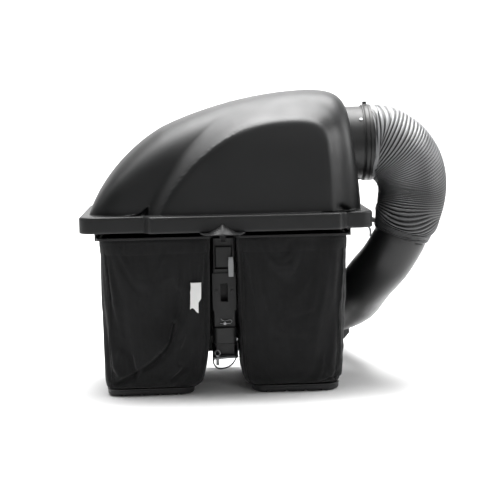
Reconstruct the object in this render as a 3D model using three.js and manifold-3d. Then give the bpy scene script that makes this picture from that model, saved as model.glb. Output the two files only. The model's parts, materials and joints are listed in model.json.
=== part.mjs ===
// Rear twin-bag grass and leaf collector for a ride-on mower.
// Millimetres, +Z up, +Y forward to the mower, +X to the right seen from behind.
// The origin is the middle of the mount plate's front face, where the mower carries the collector.
import * as THREE from 'three';
import Module from 'manifold-3d';
import { mergeVertices } from 'three/addons/utils/BufferGeometryUtils.js';

const wasm = await Module();
wasm.setup();
const FINEST = 0.02;                // smallest detail that a cut leaves, mm

// ---------------------------------------------------------------- driving dimensions
const GAP = 0.3;                    // between pieces that touch
const CLEAR = 1;                    // between pieces that pass each other
const SLEEVE = 1.5;                 // radial room between a round piece and the one slid over it

const BAG = {
  inner: 47, width: 368,            // inner wall from the middle plane, width at the rim
  rearY: 14, frontY: 496,
  rimZ: 531, rimHeight: 8, rimLip: 10,
  wall: 4, trayHeight: 25,
};
const TUBE = { size: 25, wall: 2 }; // square frame tube
const FRAME = {                     // stands round and over the bags' rims
  halfWidth: BAG.inner + BAG.width + 50,
  rearY: BAG.rearY + 16, frontY: BAG.frontY + 29,
  z: BAG.rimZ + BAG.rimHeight + 23.3,
};
const HOOD = {
  centreX: 11, halfWidth: FRAME.halfWidth + 26, // flange, across
  rearY: 0, frontY: FRAME.frontY + 75,          // flange, front to back
  flangeZ: FRAME.z + TUBE.size + 23.7, skirt: 55, // top of the flange, height of the skirt below it
  ledge: 28, domeHeight: 407,       // flange width around the dome, dome above the flange
  corner: 50, domeCorner: 110,      // plan corner radii of the flange and the dome
  bulge: 40, draft: 12, fall: 2,  // how far the rear panel stands proud, its lean, its edge's slope
  wall: 5, roundness: 3.2,          // shell thickness, power of the dome's front-to-back arch
};
const RAIL = { thick: 4, lipUnder: 7.5, setBack: 32 };
const POST = {                      // stands between the bags' rims
  halfWidth: BAG.inner - BAG.rimLip - 2,
  rearY: 110, depth: 50, footZ: 170, wall: 4, pinZ: 230,
};
const INNER_POST = { clearance: 0.4, wall: 3 };
const PIN_R = 5;                    // post pin and hitch pin
const BOLT = { r: 3, head: 6.5, headHeight: 5 };
const HINGE = {
  y: HOOD.frontY + 12, z: HOOD.flangeZ - 11,
  halfSpan: 300, pinR: 3.8, knuckleR: 8, halfWidth: 12.5,
};
const COLLAR = {                    // drop: its middle below the dome's top
  r: 126, wall: 4, y: 250, drop: 187, length: 115,
  endX: HOOD.centreX + HOOD.halfWidth + 13,
};
COLLAR.z = HOOD.flangeZ + HOOD.domeHeight - COLLAR.drop;
COLLAR.innerX = COLLAR.endX - COLLAR.length;
const CUFF = { length: 30, wall: 4, beyond: 6 };
const BAND = { width: 14, thick: 2 }; // hose clamps
const CHUTE = { r: 91.5, wall: 4 };
const HOSE = { wall: 4, startR: COLLAR.r + 7, shoulder: 14, taper: 28 };
const HITCH = { z: 112, thick: 6, halfWidth: POST.halfWidth + 9 };
const PLATE = {                     // with a thinner stem up to the front crossbar
  y: BAG.frontY + 12, thick: 8, halfWidth: 75, bottomZ: 60, topZ: 200,
  stemHalfWidth: 60, stemThick: 4,
};

// ---------------------------------------------------------------- the assembly
const assembly = new THREE.Group();
assembly.position.set(0, -(PLATE.y + PLATE.thick), -(PLATE.bottomZ + PLATE.topZ) / 2);
const part = new THREE.Group();
part.name = 'twin_bag_collector';
part.add(assembly);

const LOOKS = {
  hood: [0x24272a, 0.38, 0], fabric: [0x17181a, 0.9, 0], tray: [0x1b1c1e, 0.5, 0],
  steel: [0x1c1d1f, 0.45, 0.6], zinc: [0xb4b7b8, 0.35, 0.9], hose: [0x55585a, 0.3, 0],
  plastic: [0x202224, 0.45, 0], paper: [0xe8e8e6, 0.8, 0], grey: [0x8f9496, 0.5, 0.5],
};

function add(name, look, geometry) {
  const [color, roughness, metalness] = LOOKS[look];
  const mesh = new THREE.Mesh(geometry, new THREE.MeshStandardMaterial({ color, roughness, metalness }));
  mesh.name = name;
  assembly.add(mesh);
}

// ---------------------------------------------------------------- solids
function toManifold(geometry) {
  const bare = geometry.clone();
  for (const key of Object.keys(bare.attributes)) {
    if (key !== 'position') bare.deleteAttribute(key);
  }
  const merged = mergeVertices(bare, 1e-3);
  return new wasm.Manifold(new wasm.Mesh({
    numProp: 3,
    vertProperties: new Float32Array(merged.attributes.position.array),
    triVerts: new Uint32Array(merged.index.array),
  }));
}

function toGeometry(manifold) {
  const mesh = manifold.getMesh();
  const geometry = new THREE.BufferGeometry();
  geometry.setAttribute('position', new THREE.BufferAttribute(mesh.vertProperties, 3));
  geometry.setIndex(new THREE.BufferAttribute(mesh.triVerts, 1));
  return geometry;
}

// Cuts the tools out of a piece; slivers of no volume that a curved skin leaves behind are dropped.
function cut(geometry, ...tools) {
  const solid = tools.reduce((rest, tool) => rest.subtract(toManifold(tool)), toManifold(geometry));
  const [body] = solid.decompose().sort((a, b) => b.volume() - a.volume());
  return toGeometry(body.simplify(FINEST));
}

function join(geometry, ...others) {
  return toGeometry(others.reduce((solid, other) => solid.add(toManifold(other)), toManifold(geometry)));
}

function box(x0, x1, y0, y1, z0, z1) {
  const geometry = new THREE.BoxGeometry(x1 - x0, y1 - y0, z1 - z0);
  return geometry.translate((x0 + x1) / 2, (y0 + y1) / 2, (z0 + z1) / 2);
}

// An outline pushed along an axis: (y, z) points along x, (x, z) along y, (x, y) along z.
const AXES = {
  x: [[0, 1, 0], [0, 0, 1], [1, 0, 0]],
  y: [[1, 0, 0], [0, 0, 1], [0, -1, 0]],
  z: [[1, 0, 0], [0, 1, 0], [0, 0, 1]],
};

function push(axis, outline, from, to, hole = null) {
  const shape = new THREE.Shape(outline.map(([a, b]) => new THREE.Vector2(a, b)));
  if (hole) shape.holes.push(new THREE.Path(hole.map(([a, b]) => new THREE.Vector2(a, b))));
  const geometry = new THREE.ExtrudeGeometry(shape, { depth: to - from, bevelEnabled: false });
  const basis = AXES[axis].map((v) => new THREE.Vector3(...v));
  geometry.applyMatrix4(new THREE.Matrix4().makeBasis(...basis));
  return geometry.translate(axis === 'x' ? from : 0, axis === 'y' ? to : 0, axis === 'z' ? from : 0);
}

const rectangle = (a0, a1, b0, b1) => [[a0, b0], [a1, b0], [a1, b1], [a0, b1]];

// A cylinder or a ring turned to lie along an axis direction, its base's centre at a point.
function turned(profile, base, direction, segments) {
  const points = profile.map(([r, h]) => new THREE.Vector2(r, h));
  const geometry = new THREE.LatheGeometry(points, segments);
  const up = new THREE.Vector3(0, 1, 0);
  const turn = new THREE.Quaternion().setFromUnitVectors(up, new THREE.Vector3(...direction).normalize());
  return geometry.applyQuaternion(turn).translate(...base);
}

const rod = (base, direction, r, length, segments = 20) =>
  turned([[0, 0], [r, 0], [r, length], [0, length]], base, direction, segments);

const ring = (base, direction, rIn, rOut, length, segments = 32) =>
  turned([[rIn, 0], [rOut, 0], [rOut, length], [rIn, length], [rIn, 0]], base, direction, segments);

// A closed skin through rings of equal point counts. Seen from outside each ring runs anticlockwise about
// the way the list goes: up or along the outside, then back down the inside.
// Without caps the last ring joins the first; with caps each end closes on its own centre.
function skin(rings, caps) {
  const count = rings[0].length;
  const points = rings.flat();
  const triangles = [];
  const bands = caps ? rings.length - 1 : rings.length;
  for (let i = 0; i < bands; i++) {
    const next = (i + 1) % rings.length;
    for (let j = 0; j < count; j++) {
      const k = (j + 1) % count;
      const [a, b, c, d] = [i * count + j, i * count + k, next * count + k, next * count + j];
      triangles.push(a, b, c, a, c, d);
    }
  }
  if (caps) {
    const centre = (r) => r.reduce((sum, p) => sum.map((v, i) => v + p[i] / count), [0, 0, 0]);
    const last = (rings.length - 1) * count;
    points.push(centre(rings[0]), centre(rings.at(-1)));
    for (let j = 0; j < count; j++) {
      const k = (j + 1) % count;
      triangles.push(points.length - 2, k, j, points.length - 1, last + j, last + k);
    }
  }
  const geometry = new THREE.BufferGeometry();
  geometry.setAttribute('position', new THREE.BufferAttribute(new Float32Array(points.flat()), 3));
  geometry.setIndex(triangles);
  return geometry;
}

// Rings listed from the top down, moved inwards along their own surface normals.
function inset(rings, distance) {
  const count = rings[0].length;
  return rings.map((points, i) => points.map((p, j) => {
    const before = rings[Math.max(i - 1, 0)][j];
    const after = rings[Math.min(i + 1, rings.length - 1)][j];
    const along = new THREE.Vector3(...after).sub(new THREE.Vector3(...before));
    const around = new THREE.Vector3(...points[(j + 1) % count])
      .sub(new THREE.Vector3(...points[(j + count - 1) % count]));
    const normal = new THREE.Vector3().crossVectors(along, around).normalize();
    return p.map((v, axis) => v - distance * normal.getComponent(axis));
  }));
}

// Points around a rounded rectangle, anticlockwise from the middle of the right side.
function roundedRectangle(x0, x1, y0, y1, r, alongX = 6, alongY = 4, aroundCorner = 4) {
  const points = [];
  const side = (ax, ay, bx, by, n) => {
    for (let i = 0; i < n; i++) points.push([ax + (bx - ax) * i / n, ay + (by - ay) * i / n]);
  };
  const corner = (cx, cy, start) => {
    for (let i = 0; i < aroundCorner; i++) {
      const angle = start + (Math.PI / 2) * i / aroundCorner;
      points.push([cx + r * Math.cos(angle), cy + r * Math.sin(angle)]);
    }
  };
  side(x1, y0 + r, x1, y1 - r, alongY);
  corner(x1 - r, y1 - r, 0);
  side(x1 - r, y1, x0 + r, y1, alongX);
  corner(x0 + r, y1 - r, Math.PI / 2);
  side(x0, y1 - r, x0, y0 + r, alongY);
  corner(x0 + r, y0 + r, Math.PI);
  side(x0 + r, y0, x1 - r, y0, alongX);
  corner(x1 - r, y0 + r, -Math.PI / 2);
  return points;
}

// ---------------------------------------------------------------- hood
// Outlines seen from behind, as shares of the dome's half width and height, in cubic curves.
const SILHOUETTE = [[-1, 0],
  [-0.952, 0.219, -0.737, 0.538, -0.454, 0.713], [-0.153, 0.872, 0.279, 1, 0.641, 1],
  [0.851, 1, 0.918, 0.936, 0.935, 0.722], [0.959, 0.587, 0.991, 0.317, 1, 0]];
const ARCH = [[-0.486, 0],
  [-0.413, 0.219, -0.197, 0.514, 0.093, 0.671], [0.214, 0.730, 0.343, 0.759, 0.516, 0.759],
  [0.689, 0.759, 0.736, 0.686, 0.749, 0.538], [0.760, 0.415, 0.769, 0.219, 0.773, 0]];
const STEP_LEFT = -0.572;           // where the flange steps out, as a share of the dome's half width
const STEP_RIGHT = 0.834;
const STEP_WIDTH = 50;

const dome = {
  half: HOOD.halfWidth - HOOD.ledge,
  y0: HOOD.rearY + HOOD.ledge,
  y1: HOOD.frontY - HOOD.ledge,
};

function outlinePoints(curves) {
  const path = new THREE.Path();
  path.moveTo(...curves[0]);
  for (const curve of curves.slice(1)) path.bezierCurveTo(...curve);
  return path.getPoints(24)
    .map((p) => [HOOD.centreX + p.x * dome.half, p.y * HOOD.domeHeight]);
}

const silhouette = outlinePoints(SILHOUETTE);
const arch = outlinePoints(ARCH);

function heightAt(outline, x) {
  for (let i = 1; i < outline.length; i++) {
    const [[xa, za], [xb, zb]] = [outline[i - 1], outline[i]];
    if (x <= xb && x >= xa && xb > xa) return za + (zb - za) * (x - xa) / (xb - xa);
  }
  return 0;
}

// Height of the smooth dome over its flange at a plan position.
function domeHeightAt(x, y) {
  const middleY = (dome.y0 + dome.y1) / 2;
  const beyond = Math.max(0, Math.abs(x - HOOD.centreX) - (dome.half - HOOD.domeCorner));
  const corner = Math.sqrt(Math.max(0, HOOD.domeCorner ** 2 - beyond ** 2));
  const halfDepth = Math.max(1, (dome.y1 - dome.y0) / 2 - HOOD.domeCorner + corner);
  const share = Math.min(1, Math.abs(y - middleY) / halfDepth);
  return heightAt(silhouette, x) * (1 - share ** HOOD.roundness) ** (1 / HOOD.roundness);
}

// How far a point seen from behind lies outside the raised panel's arch (negative inside).
function outsideArch(x, height) {
  const nearest = Math.min(...arch.map(([ax, az]) => Math.hypot(ax - x, az - height)));
  return height < heightAt(arch, x) ? -nearest : nearest;
}

// The rear panel is a plane that falls away past the arch; it stands out of the dome.
function withPanel([x, y, z]) {
  if (y > (dome.y0 + dome.y1) / 2) return [x, y, z];
  const height = z - HOOD.flangeZ;
  const fall = HOOD.fall * Math.max(0, outsideArch(x, height));
  const panelY = dome.y0 - HOOD.bulge + HOOD.draft * height / HOOD.domeHeight + fall;
  return [x, Math.min(y, panelY), z];
}

// Flange outline: a rounded rectangle whose rear middle steps out by the panel's bulge.
function flangeOutline(shrink) {
  const ease = (t) => {
    const s = Math.min(1, Math.max(0, t));
    return s * s * (3 - 2 * s);
  };
  const x0 = HOOD.centreX - HOOD.halfWidth + shrink;
  const x1 = HOOD.centreX + HOOD.halfWidth - shrink;
  const y0 = HOOD.rearY + shrink;
  const left = HOOD.centreX + STEP_LEFT * dome.half;
  const right = HOOD.centreX + STEP_RIGHT * dome.half;
  return roundedRectangle(x0, x1, y0, HOOD.frontY - shrink, HOOD.corner, 30, 7, 4).map(([x, y]) => {
    const step = ease((x - left) / STEP_WIDTH + 0.5) * ease((right - x) / STEP_WIDTH + 0.5);
    return [x, y > HOOD.rearY + HOOD.corner ? y : y - HOOD.bulge * step];
  });
}

function hoodShell() {
  const plan = roundedRectangle(HOOD.centreX - dome.half, HOOD.centreX + dome.half, dome.y0, dome.y1,
    HOOD.domeCorner, 30, 7, 4);
  const middle = [HOOD.centreX, (dome.y0 + dome.y1) / 2];
  const rows = 11;
  const meridians = plan.map(([px, py]) => {
    const steps = 160;
    const line = [];
    for (let i = 0; i <= steps; i++) {
      const share = Math.sin((Math.PI / 2) * (0.04 + 0.96 * i / steps));
      const [x, y] = [middle[0] + (px - middle[0]) * share, middle[1] + (py - middle[1]) * share];
      const height = i === steps ? 0 : domeHeightAt(x, y);
      line.push([x, y, HOOD.flangeZ + height]);
    }
    const run = [0];
    for (let i = 1; i <= steps; i++) {
      run.push(run[i - 1] + Math.hypot(...line[i].map((v, axis) => v - line[i - 1][axis])));
    }
    const even = [];
    for (let row = 0; row <= rows; row++) {
      const want = run[steps] * row / rows;
      const i = Math.max(1, run.findIndex((length) => length >= want - 1e-9));
      const t = (want - run[i - 1]) / (run[i] - run[i - 1]);
      even.push(withPanel(line[i - 1].map((v, axis) => v + (line[i][axis] - v) * t)));
    }
    return even;
  });
  const rings = [];
  for (let row = 0; row <= rows; row++) rings.push(meridians.map((line) => line[row]));
  const level = (outline, z) => outline.map(([x, y]) => [x, y, z]);
  const edge = 6;
  rings.push(level(flangeOutline(edge), HOOD.flangeZ));
  rings.push(level(flangeOutline(0), HOOD.flangeZ - edge));
  rings.push(level(flangeOutline(0), HOOD.flangeZ - HOOD.skirt));
  const inner = inset(rings, HOOD.wall);
  const bottom = inner.length - 1;
  inner[bottom] = inner[bottom].map(([x, y]) => [x, y, HOOD.flangeZ - HOOD.skirt]);
  return skin([...inner, ...rings.reverse()], true);
}

function hood() {
  const inlet = rod([COLLAR.innerX - CLEAR, COLLAR.y, COLLAR.z], [1, 0, 0], COLLAR.r + GAP, 200, 40);
  const around = (x, r, thick, length) => ring([x, COLLAR.y, COLLAR.z], [1, 0, 0], r, r + thick, length, 40);
  add('hood_shell', 'hood', cut(hoodShell(), inlet));
  add('inlet_collar', 'plastic', around(COLLAR.innerX, COLLAR.r - COLLAR.wall, COLLAR.wall, COLLAR.length));
  const cuffStart = COLLAR.endX + CUFF.beyond - CUFF.length;
  const cuffR = COLLAR.r + GAP;
  add('hose_cuff', 'plastic', around(cuffStart, cuffR, CUFF.wall, CUFF.length));
  const bandR = cuffR + CUFF.wall + GAP;
  add('upper_hose_clamp', 'steel', around(cuffStart + 6, bandR, BAND.thick, BAND.width));
  const screwZ = COLLAR.z + bandR + BAND.thick + GAP;
  add('upper_clamp_screw', 'steel', join(
    box(cuffStart + 7, cuffStart + 19, COLLAR.y - 14, COLLAR.y + 14, screwZ, screwZ + 9),
    rod([cuffStart + 13, COLLAR.y - 22, screwZ + 5], [0, 1, 0], 3.5, 40, 12)));
  for (const [i, angle] of [0.35, 2.44, 4.54].entries()) {
    const out = [0, Math.cos(angle), Math.sin(angle)];
    const base = [cuffStart - 10, COLLAR.y + out[1] * cuffR, COLLAR.z + out[2] * cuffR];
    add(`collar_rivet_${i + 1}`, 'zinc', rod(base, out, 5, 3, 12));
  }
}

// ---------------------------------------------------------------- hood grip and latch
const skirtZ = HOOD.flangeZ - HOOD.skirt;
const GRIP = { x: -4, halfWidth: 74, peakZ: skirtZ + 23, endZ: skirtZ - 5, thick: 6, reach: 35 };
const LATCH = { halfWidth: 9, pivotZ: skirtZ - 3, pivotReach: 18, pinR: 3, tipZ: skirtZ - 32, strikeGap: 0.5 };
const skirtY = HOOD.rearY - HOOD.bulge;
const latchY = skirtY - LATCH.pivotReach;

function gripAndLatch() {
  const { x, halfWidth, peakZ, endZ, thick, reach } = GRIP;
  const lip = [[x - halfWidth, endZ], [x - halfWidth * 0.55, endZ + 2], [x, peakZ],
    [x + halfWidth * 0.55, endZ + 2], [x + halfWidth, endZ],
    [x + halfWidth, endZ - thick], [x + halfWidth * 0.5, endZ + 2 - thick], [x, peakZ - thick],
    [x - halfWidth * 0.5, endZ + 2 - thick], [x - halfWidth, endZ - thick]].reverse();
  add('hood_grip', 'hood', push('y', lip, skirtY - reach, skirtY - GAP));
  const ear = LATCH.halfWidth + CLEAR;
  const top = LATCH.pivotZ + 6;
  const bottom = LATCH.pivotZ - 4;
  const bracket = join(
    box(x - ear - 4, x + ear + 4, skirtY - 3 - GAP, skirtY - GAP, bottom, top),
    box(x - ear - 4, x - ear, latchY - 7, skirtY - GAP, bottom, top),
    box(x + ear, x + ear + 4, latchY - 7, skirtY - GAP, bottom, top));
  add('latch_bracket', 'zinc', cut(bracket,
    rod([x - 30, latchY, LATCH.pivotZ], [1, 0, 0], LATCH.pinR + GAP, 60)));
  add('latch_pin', 'zinc', join(
    rod([x - ear - 6, latchY, LATCH.pivotZ], [1, 0, 0], LATCH.pinR, 2 * ear + 12),
    rod([x - ear - 7, latchY, LATCH.pivotZ], [1, 0, 0], LATCH.pinR + 2, 2)));
  const lever = join(
    rod([x - LATCH.halfWidth, latchY, LATCH.pivotZ], [1, 0, 0], 6, 2 * LATCH.halfWidth),
    box(x - LATCH.halfWidth, x + LATCH.halfWidth, latchY - 3, latchY + 2, LATCH.tipZ, LATCH.pivotZ - 1),
    box(x - LATCH.halfWidth, x + LATCH.halfWidth, latchY - 12, latchY - 2, LATCH.tipZ, LATCH.tipZ + 5));
  add('latch_lever', 'zinc', cut(lever,
    rod([x - 30, latchY, LATCH.pivotZ], [1, 0, 0], LATCH.pinR + GAP, 60)));
  const strikeY = latchY + 2 + LATCH.strikeGap;
  const strikeZ = skirtZ - 15;
  add('latch_strike', 'steel', push('x', [[strikeY, strikeZ], [FRAME.rearY - GAP, strikeZ],
    [FRAME.rearY - GAP, FRAME.z + 12], [FRAME.rearY - GAP - 4, FRAME.z + 12], [FRAME.rearY - GAP - 4, strikeZ + 6],
    [strikeY, strikeZ + 6]], x - 10, x + 10));
}

// ---------------------------------------------------------------- hinges
function hinges() {
  const frontSkirt = HOOD.frontY;
  const bore = (x) => rod([x - 40, HINGE.y, HINGE.z], [1, 0, 0], HINGE.pinR + GAP, 80);
  for (const [side, sign] of [['left', -1], ['right', 1]]) {
    const x = sign * HINGE.halfSpan;
    const ear = HINGE.halfWidth + 0.5;
    const outerY = HINGE.y + 20;
    const under = FRAME.z - 21;
    const bracket = push('x', [[FRAME.frontY + GAP, under], [outerY, under], [outerY, HINGE.z + 8],
      [HINGE.y - 7.5, HINGE.z + 8], [HINGE.y - 7.5, HINGE.z - 8], [outerY - 8, HINGE.z - 8],
      [outerY - 8, under + 8], [FRAME.frontY + 6, under + 8], [FRAME.frontY + 6, FRAME.z + TUBE.size],
      [FRAME.frontY + GAP, FRAME.z + TUBE.size]], x - ear - 7, x + ear + 7);
    const slot = box(x - ear, x + ear, HINGE.y - 12, outerY - 8.5, HINGE.z - 12, HINGE.z + 12);
    add(`hinge_bracket_${side}`, 'steel', cut(bracket, slot, bore(x)));
    const strap = join(
      rod([x - HINGE.halfWidth, HINGE.y, HINGE.z], [1, 0, 0], HINGE.knuckleR, 2 * HINGE.halfWidth, 24),
      box(x - HINGE.halfWidth, x + HINGE.halfWidth, frontSkirt + GAP, HINGE.y - 3, HINGE.z - 6, HINGE.z),
      box(x - HINGE.halfWidth, x + HINGE.halfWidth, frontSkirt + GAP, frontSkirt + 3,
        skirtZ + 4, HINGE.z));
    add(`hinge_strap_${side}`, 'steel', cut(strap, bore(x)));
    add(`hinge_pin_${side}`, 'zinc', join(
      rod([x - ear - 9, HINGE.y, HINGE.z], [1, 0, 0], HINGE.pinR, 2 * ear + 18),
      rod([x - ear - 10, HINGE.y, HINGE.z], [1, 0, 0], HINGE.pinR + 2.5, 2.5)));
  }
}

// ---------------------------------------------------------------- frame
function squareTube(axis, a0, b0, from, to) {
  const s = TUBE.size;
  const w = TUBE.wall;
  return push(axis, rectangle(a0, a0 + s, b0, b0 + s), from, to,
    rectangle(a0 + w, a0 + s - w, b0 + w, b0 + s - w));
}

function frame() {
  const { halfWidth, rearY, frontY, z } = FRAME;
  const s = TUBE.size;
  add('rear_crossbar', 'steel', squareTube('x', rearY, z, -halfWidth, halfWidth));
  add('front_crossbar', 'steel', squareTube('x', frontY - s, z, -halfWidth, halfWidth));
  const y0 = rearY + s + GAP;
  const y1 = frontY - s - GAP;
  add('left_side_tube', 'steel', squareTube('y', -halfWidth, z, y0, y1));
  add('right_side_tube', 'steel', squareTube('y', halfWidth - s, z, y0, y1));
  add('centre_beam', 'steel', push('y', rectangle(-s, s, z, z + s), y0, y1,
    rectangle(-s + TUBE.wall, s - TUBE.wall, z + TUBE.wall, z + s - TUBE.wall)));
  const t = RAIL.thick;
  const lipZ = BAG.rimZ - GAP - t;
  const topZ = z - GAP;
  const outer = BAG.inner + BAG.width + BAG.rimLip;
  const inner = BAG.inner - BAG.rimLip;
  for (const [side, sign] of [['left', -1], ['right', 1]]) {
    const flip = (points) => points.map(([x, h]) => [sign * x, h]);
    const outerWeb = outer + 2;
    add(`${side}_outer_rail`, 'steel', push('y', flip([[outer - RAIL.lipUnder, lipZ], [outerWeb + t, lipZ],
      [outerWeb + t, topZ - t], [halfWidth - 2, topZ - t], [halfWidth - 2, topZ], [outerWeb, topZ],
      [outerWeb, lipZ + t], [outer - RAIL.lipUnder, lipZ + t]]), rearY + RAIL.setBack, y1));
    const innerWeb = s - 3;
    add(`${side}_inner_rail`, 'steel', push('y', flip([[inner + RAIL.lipUnder, lipZ], [innerWeb - t, lipZ],
      [innerWeb - t, topZ - t], [4, topZ - t], [4, topZ], [innerWeb, topZ],
      [innerWeb, lipZ + t], [inner + RAIL.lipUnder, lipZ + t]]), POST.rearY + POST.depth + 6, y1));
  }
}

// ---------------------------------------------------------------- post, latch box and hitch
const COUPLER = { reach: 16, corner: 18, bottomZ: 160, topZ: 216 };
const HOUSING = { reach: 26, wall: 5, back: 6, topZ: FRAME.z - 37.3, height: 110 };
HOUSING.bottomZ = HOUSING.topZ - HOUSING.height;
const HEIGHT_PLATE = { thick: 5, bottomZ: POST.pinZ + 44, topZ: HOUSING.bottomZ - 12, slotHalf: 12 };
const SLOT = {
  bottomZ: HEIGHT_PLATE.bottomZ + 0.24 * (HEIGHT_PLATE.topZ - HEIGHT_PLATE.bottomZ),
  topZ: HEIGHT_PLATE.topZ - 0.28 * (HEIGHT_PLATE.topZ - HEIGHT_PLATE.bottomZ),
};
SLOT.boltZ = (SLOT.bottomZ + SLOT.topZ) / 2 + 4;
const SLOT_ROOM = 22;                // half width of the inner post's window behind the slot
const LEVER = { thick: 4, x: POST.halfWidth - 11, z: HOUSING.bottomZ + 37, halfWidth: 8, length: 59 };

function post() {
  const { halfWidth, rearY, footZ, wall, pinZ } = POST;
  const frontY = rearY + POST.depth;
  const hole = rod([0, rearY - 20, pinZ], [0, 1, 0], PIN_R + GAP, POST.depth + 40, 16);
  const boltX = halfWidth - 9;
  const bolts = [-1, 1].map((side) => rod([side * boltX, rearY - 20, SLOT.boltZ], [0, 1, 0], BOLT.r + GAP, 40, 12));
  const slot = box(-HEIGHT_PLATE.slotHalf, HEIGHT_PLATE.slotHalf, rearY - 20, rearY + 10, SLOT.bottomZ, SLOT.topZ);
  const tube = push('z', rectangle(-halfWidth, halfWidth, rearY, frontY), footZ, FRAME.z - GAP,
    rectangle(-halfWidth + wall, halfWidth - wall, rearY + wall, frontY - wall));
  add('support_post', 'steel', cut(tube, hole, slot, ...bolts));

  const gap = INNER_POST.clearance;
  const innerHalf = halfWidth - wall - gap;
  const innerRear = rearY + wall + gap;
  const innerFront = frontY - wall - gap;
  const w = INNER_POST.wall;
  const innerTube = push('z', rectangle(-innerHalf, innerHalf, innerRear, innerFront),
    HITCH.z + HITCH.thick + GAP, HEIGHT_PLATE.topZ + 27,
    rectangle(-innerHalf + w, innerHalf - w, innerRear + w, innerFront - w));
  const window = box(-SLOT_ROOM, SLOT_ROOM, innerRear - 5, innerRear + 8, SLOT.bottomZ - 15, SLOT.topZ + 13);
  const ends = box(-boltX - 4, boltX + 4, innerRear - 5, innerRear + 8, SLOT.boltZ - 10, SLOT.boltZ + 10);
  add('inner_post', 'zinc', cut(innerTube, hole, window, ends));

  const plateRear = rearY - HEIGHT_PLATE.thick;
  const plateHalf = halfWidth + 5;
  add('height_plate', 'steel', cut(
    box(-plateHalf, plateHalf, plateRear, rearY - GAP, HEIGHT_PLATE.bottomZ, HEIGHT_PLATE.topZ), slot, ...bolts));
  for (const [side, sign] of [['left', -1], ['right', 1]]) {
    add(`height_bolt_${side}`, 'zinc', join(
      rod([sign * boltX, plateRear - GAP, SLOT.boltZ], [0, -1, 0], BOLT.head, BOLT.headHeight, 6),
      rod([sign * boltX, plateRear - 1, SLOT.boltZ], [0, 1, 0], BOLT.r, wall + 4.5, 12)));
  }

  const housingRear = rearY - HOUSING.reach;
  const side = halfWidth - HOUSING.wall;
  add('latch_housing', 'steel', cut(
    box(-halfWidth, halfWidth, housingRear, rearY - GAP, HOUSING.bottomZ, HOUSING.topZ),
    box(-side, side, housingRear - 5, rearY - HOUSING.back,
      HOUSING.bottomZ + HOUSING.wall, HOUSING.topZ - HOUSING.wall)));
  const panelRear = rearY - 18;
  add('latch_panel', 'plastic', box(-side + 3, side - 3, panelRear, rearY - HOUSING.back - GAP,
    HOUSING.bottomZ + 9, HOUSING.bottomZ + 79));
  const leverRear = housingRear - LEVER.thick - GAP;
  const { x, z, length } = LEVER;
  const leverPlate = push('y', [[x - 7, z + 8], [x - LEVER.halfWidth - 1, z - 20], [x - LEVER.halfWidth, z - length],
    [x + LEVER.halfWidth, z - length], [x + LEVER.halfWidth + 1, z - 20], [x + 7, z + 8]].reverse(),
  leverRear, housingRear - GAP);
  add('lock_lever', 'zinc', cut(leverPlate, rod([x, leverRear - 5, z], [0, 1, 0], BOLT.r + GAP, 40, 12)));
  add('lever_bolt', 'zinc', join(
    rod([x, leverRear - GAP, z], [0, -1, 0], 6, 4, 6),
    rod([x, leverRear - 1, z], [0, 1, 0], BOLT.r, panelRear - GAP - leverRear + 1, 12)));

  const { reach, corner } = COUPLER;
  const coupler = push('z', roundedRectangle(-halfWidth - 8, halfWidth + 8, rearY - reach, frontY + reach, corner),
    COUPLER.bottomZ, COUPLER.topZ, rectangle(-halfWidth - GAP, halfWidth + GAP, rearY - GAP, frontY + GAP));
  add('post_coupler', 'plastic', coupler);

  const clipY = rearY - 8;
  const clipR = 1.1;
  const shank = rod([0, rearY - 14, pinZ], [0, 1, 0], PIN_R, POST.depth + 26, 16);
  const head = rod([0, frontY + 8, pinZ], [0, 1, 0], PIN_R + 3, 4, 16);
  add('post_pin', 'zinc', cut(join(shank, head), rod([-20, clipY, pinZ], [1, 0, 0], clipR + 0.5, 40, 12)));
  // hairpin clip: straight leg through the pin, waved leg over it
  const wire = new THREE.CatmullRomCurve3([[-16, 0], [10, 0], [20, 1], [24, 6], [18, 11], [8, 9], [0, 7.6],
    [-8, 10], [-14, 15]].map(([along, up]) => new THREE.Vector3(along, clipY, pinZ + up * 1.1)));
  add('hairpin_clip', 'zinc', sweep(wire, clipR, 22, 6));
}

function sweep(curve, r, steps, sides = 8) {
  const section = new THREE.Shape();
  for (let i = 0; i < sides; i++) {
    const angle = 2 * Math.PI * i / sides;
    const move = i ? 'lineTo' : 'moveTo';
    section[move](r * Math.cos(angle), r * Math.sin(angle));
  }
  return new THREE.ExtrudeGeometry(section, { steps, extrudePath: curve, bevelEnabled: false });
}

const HITCH_PIN = { x: -28, y: 84 };

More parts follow.
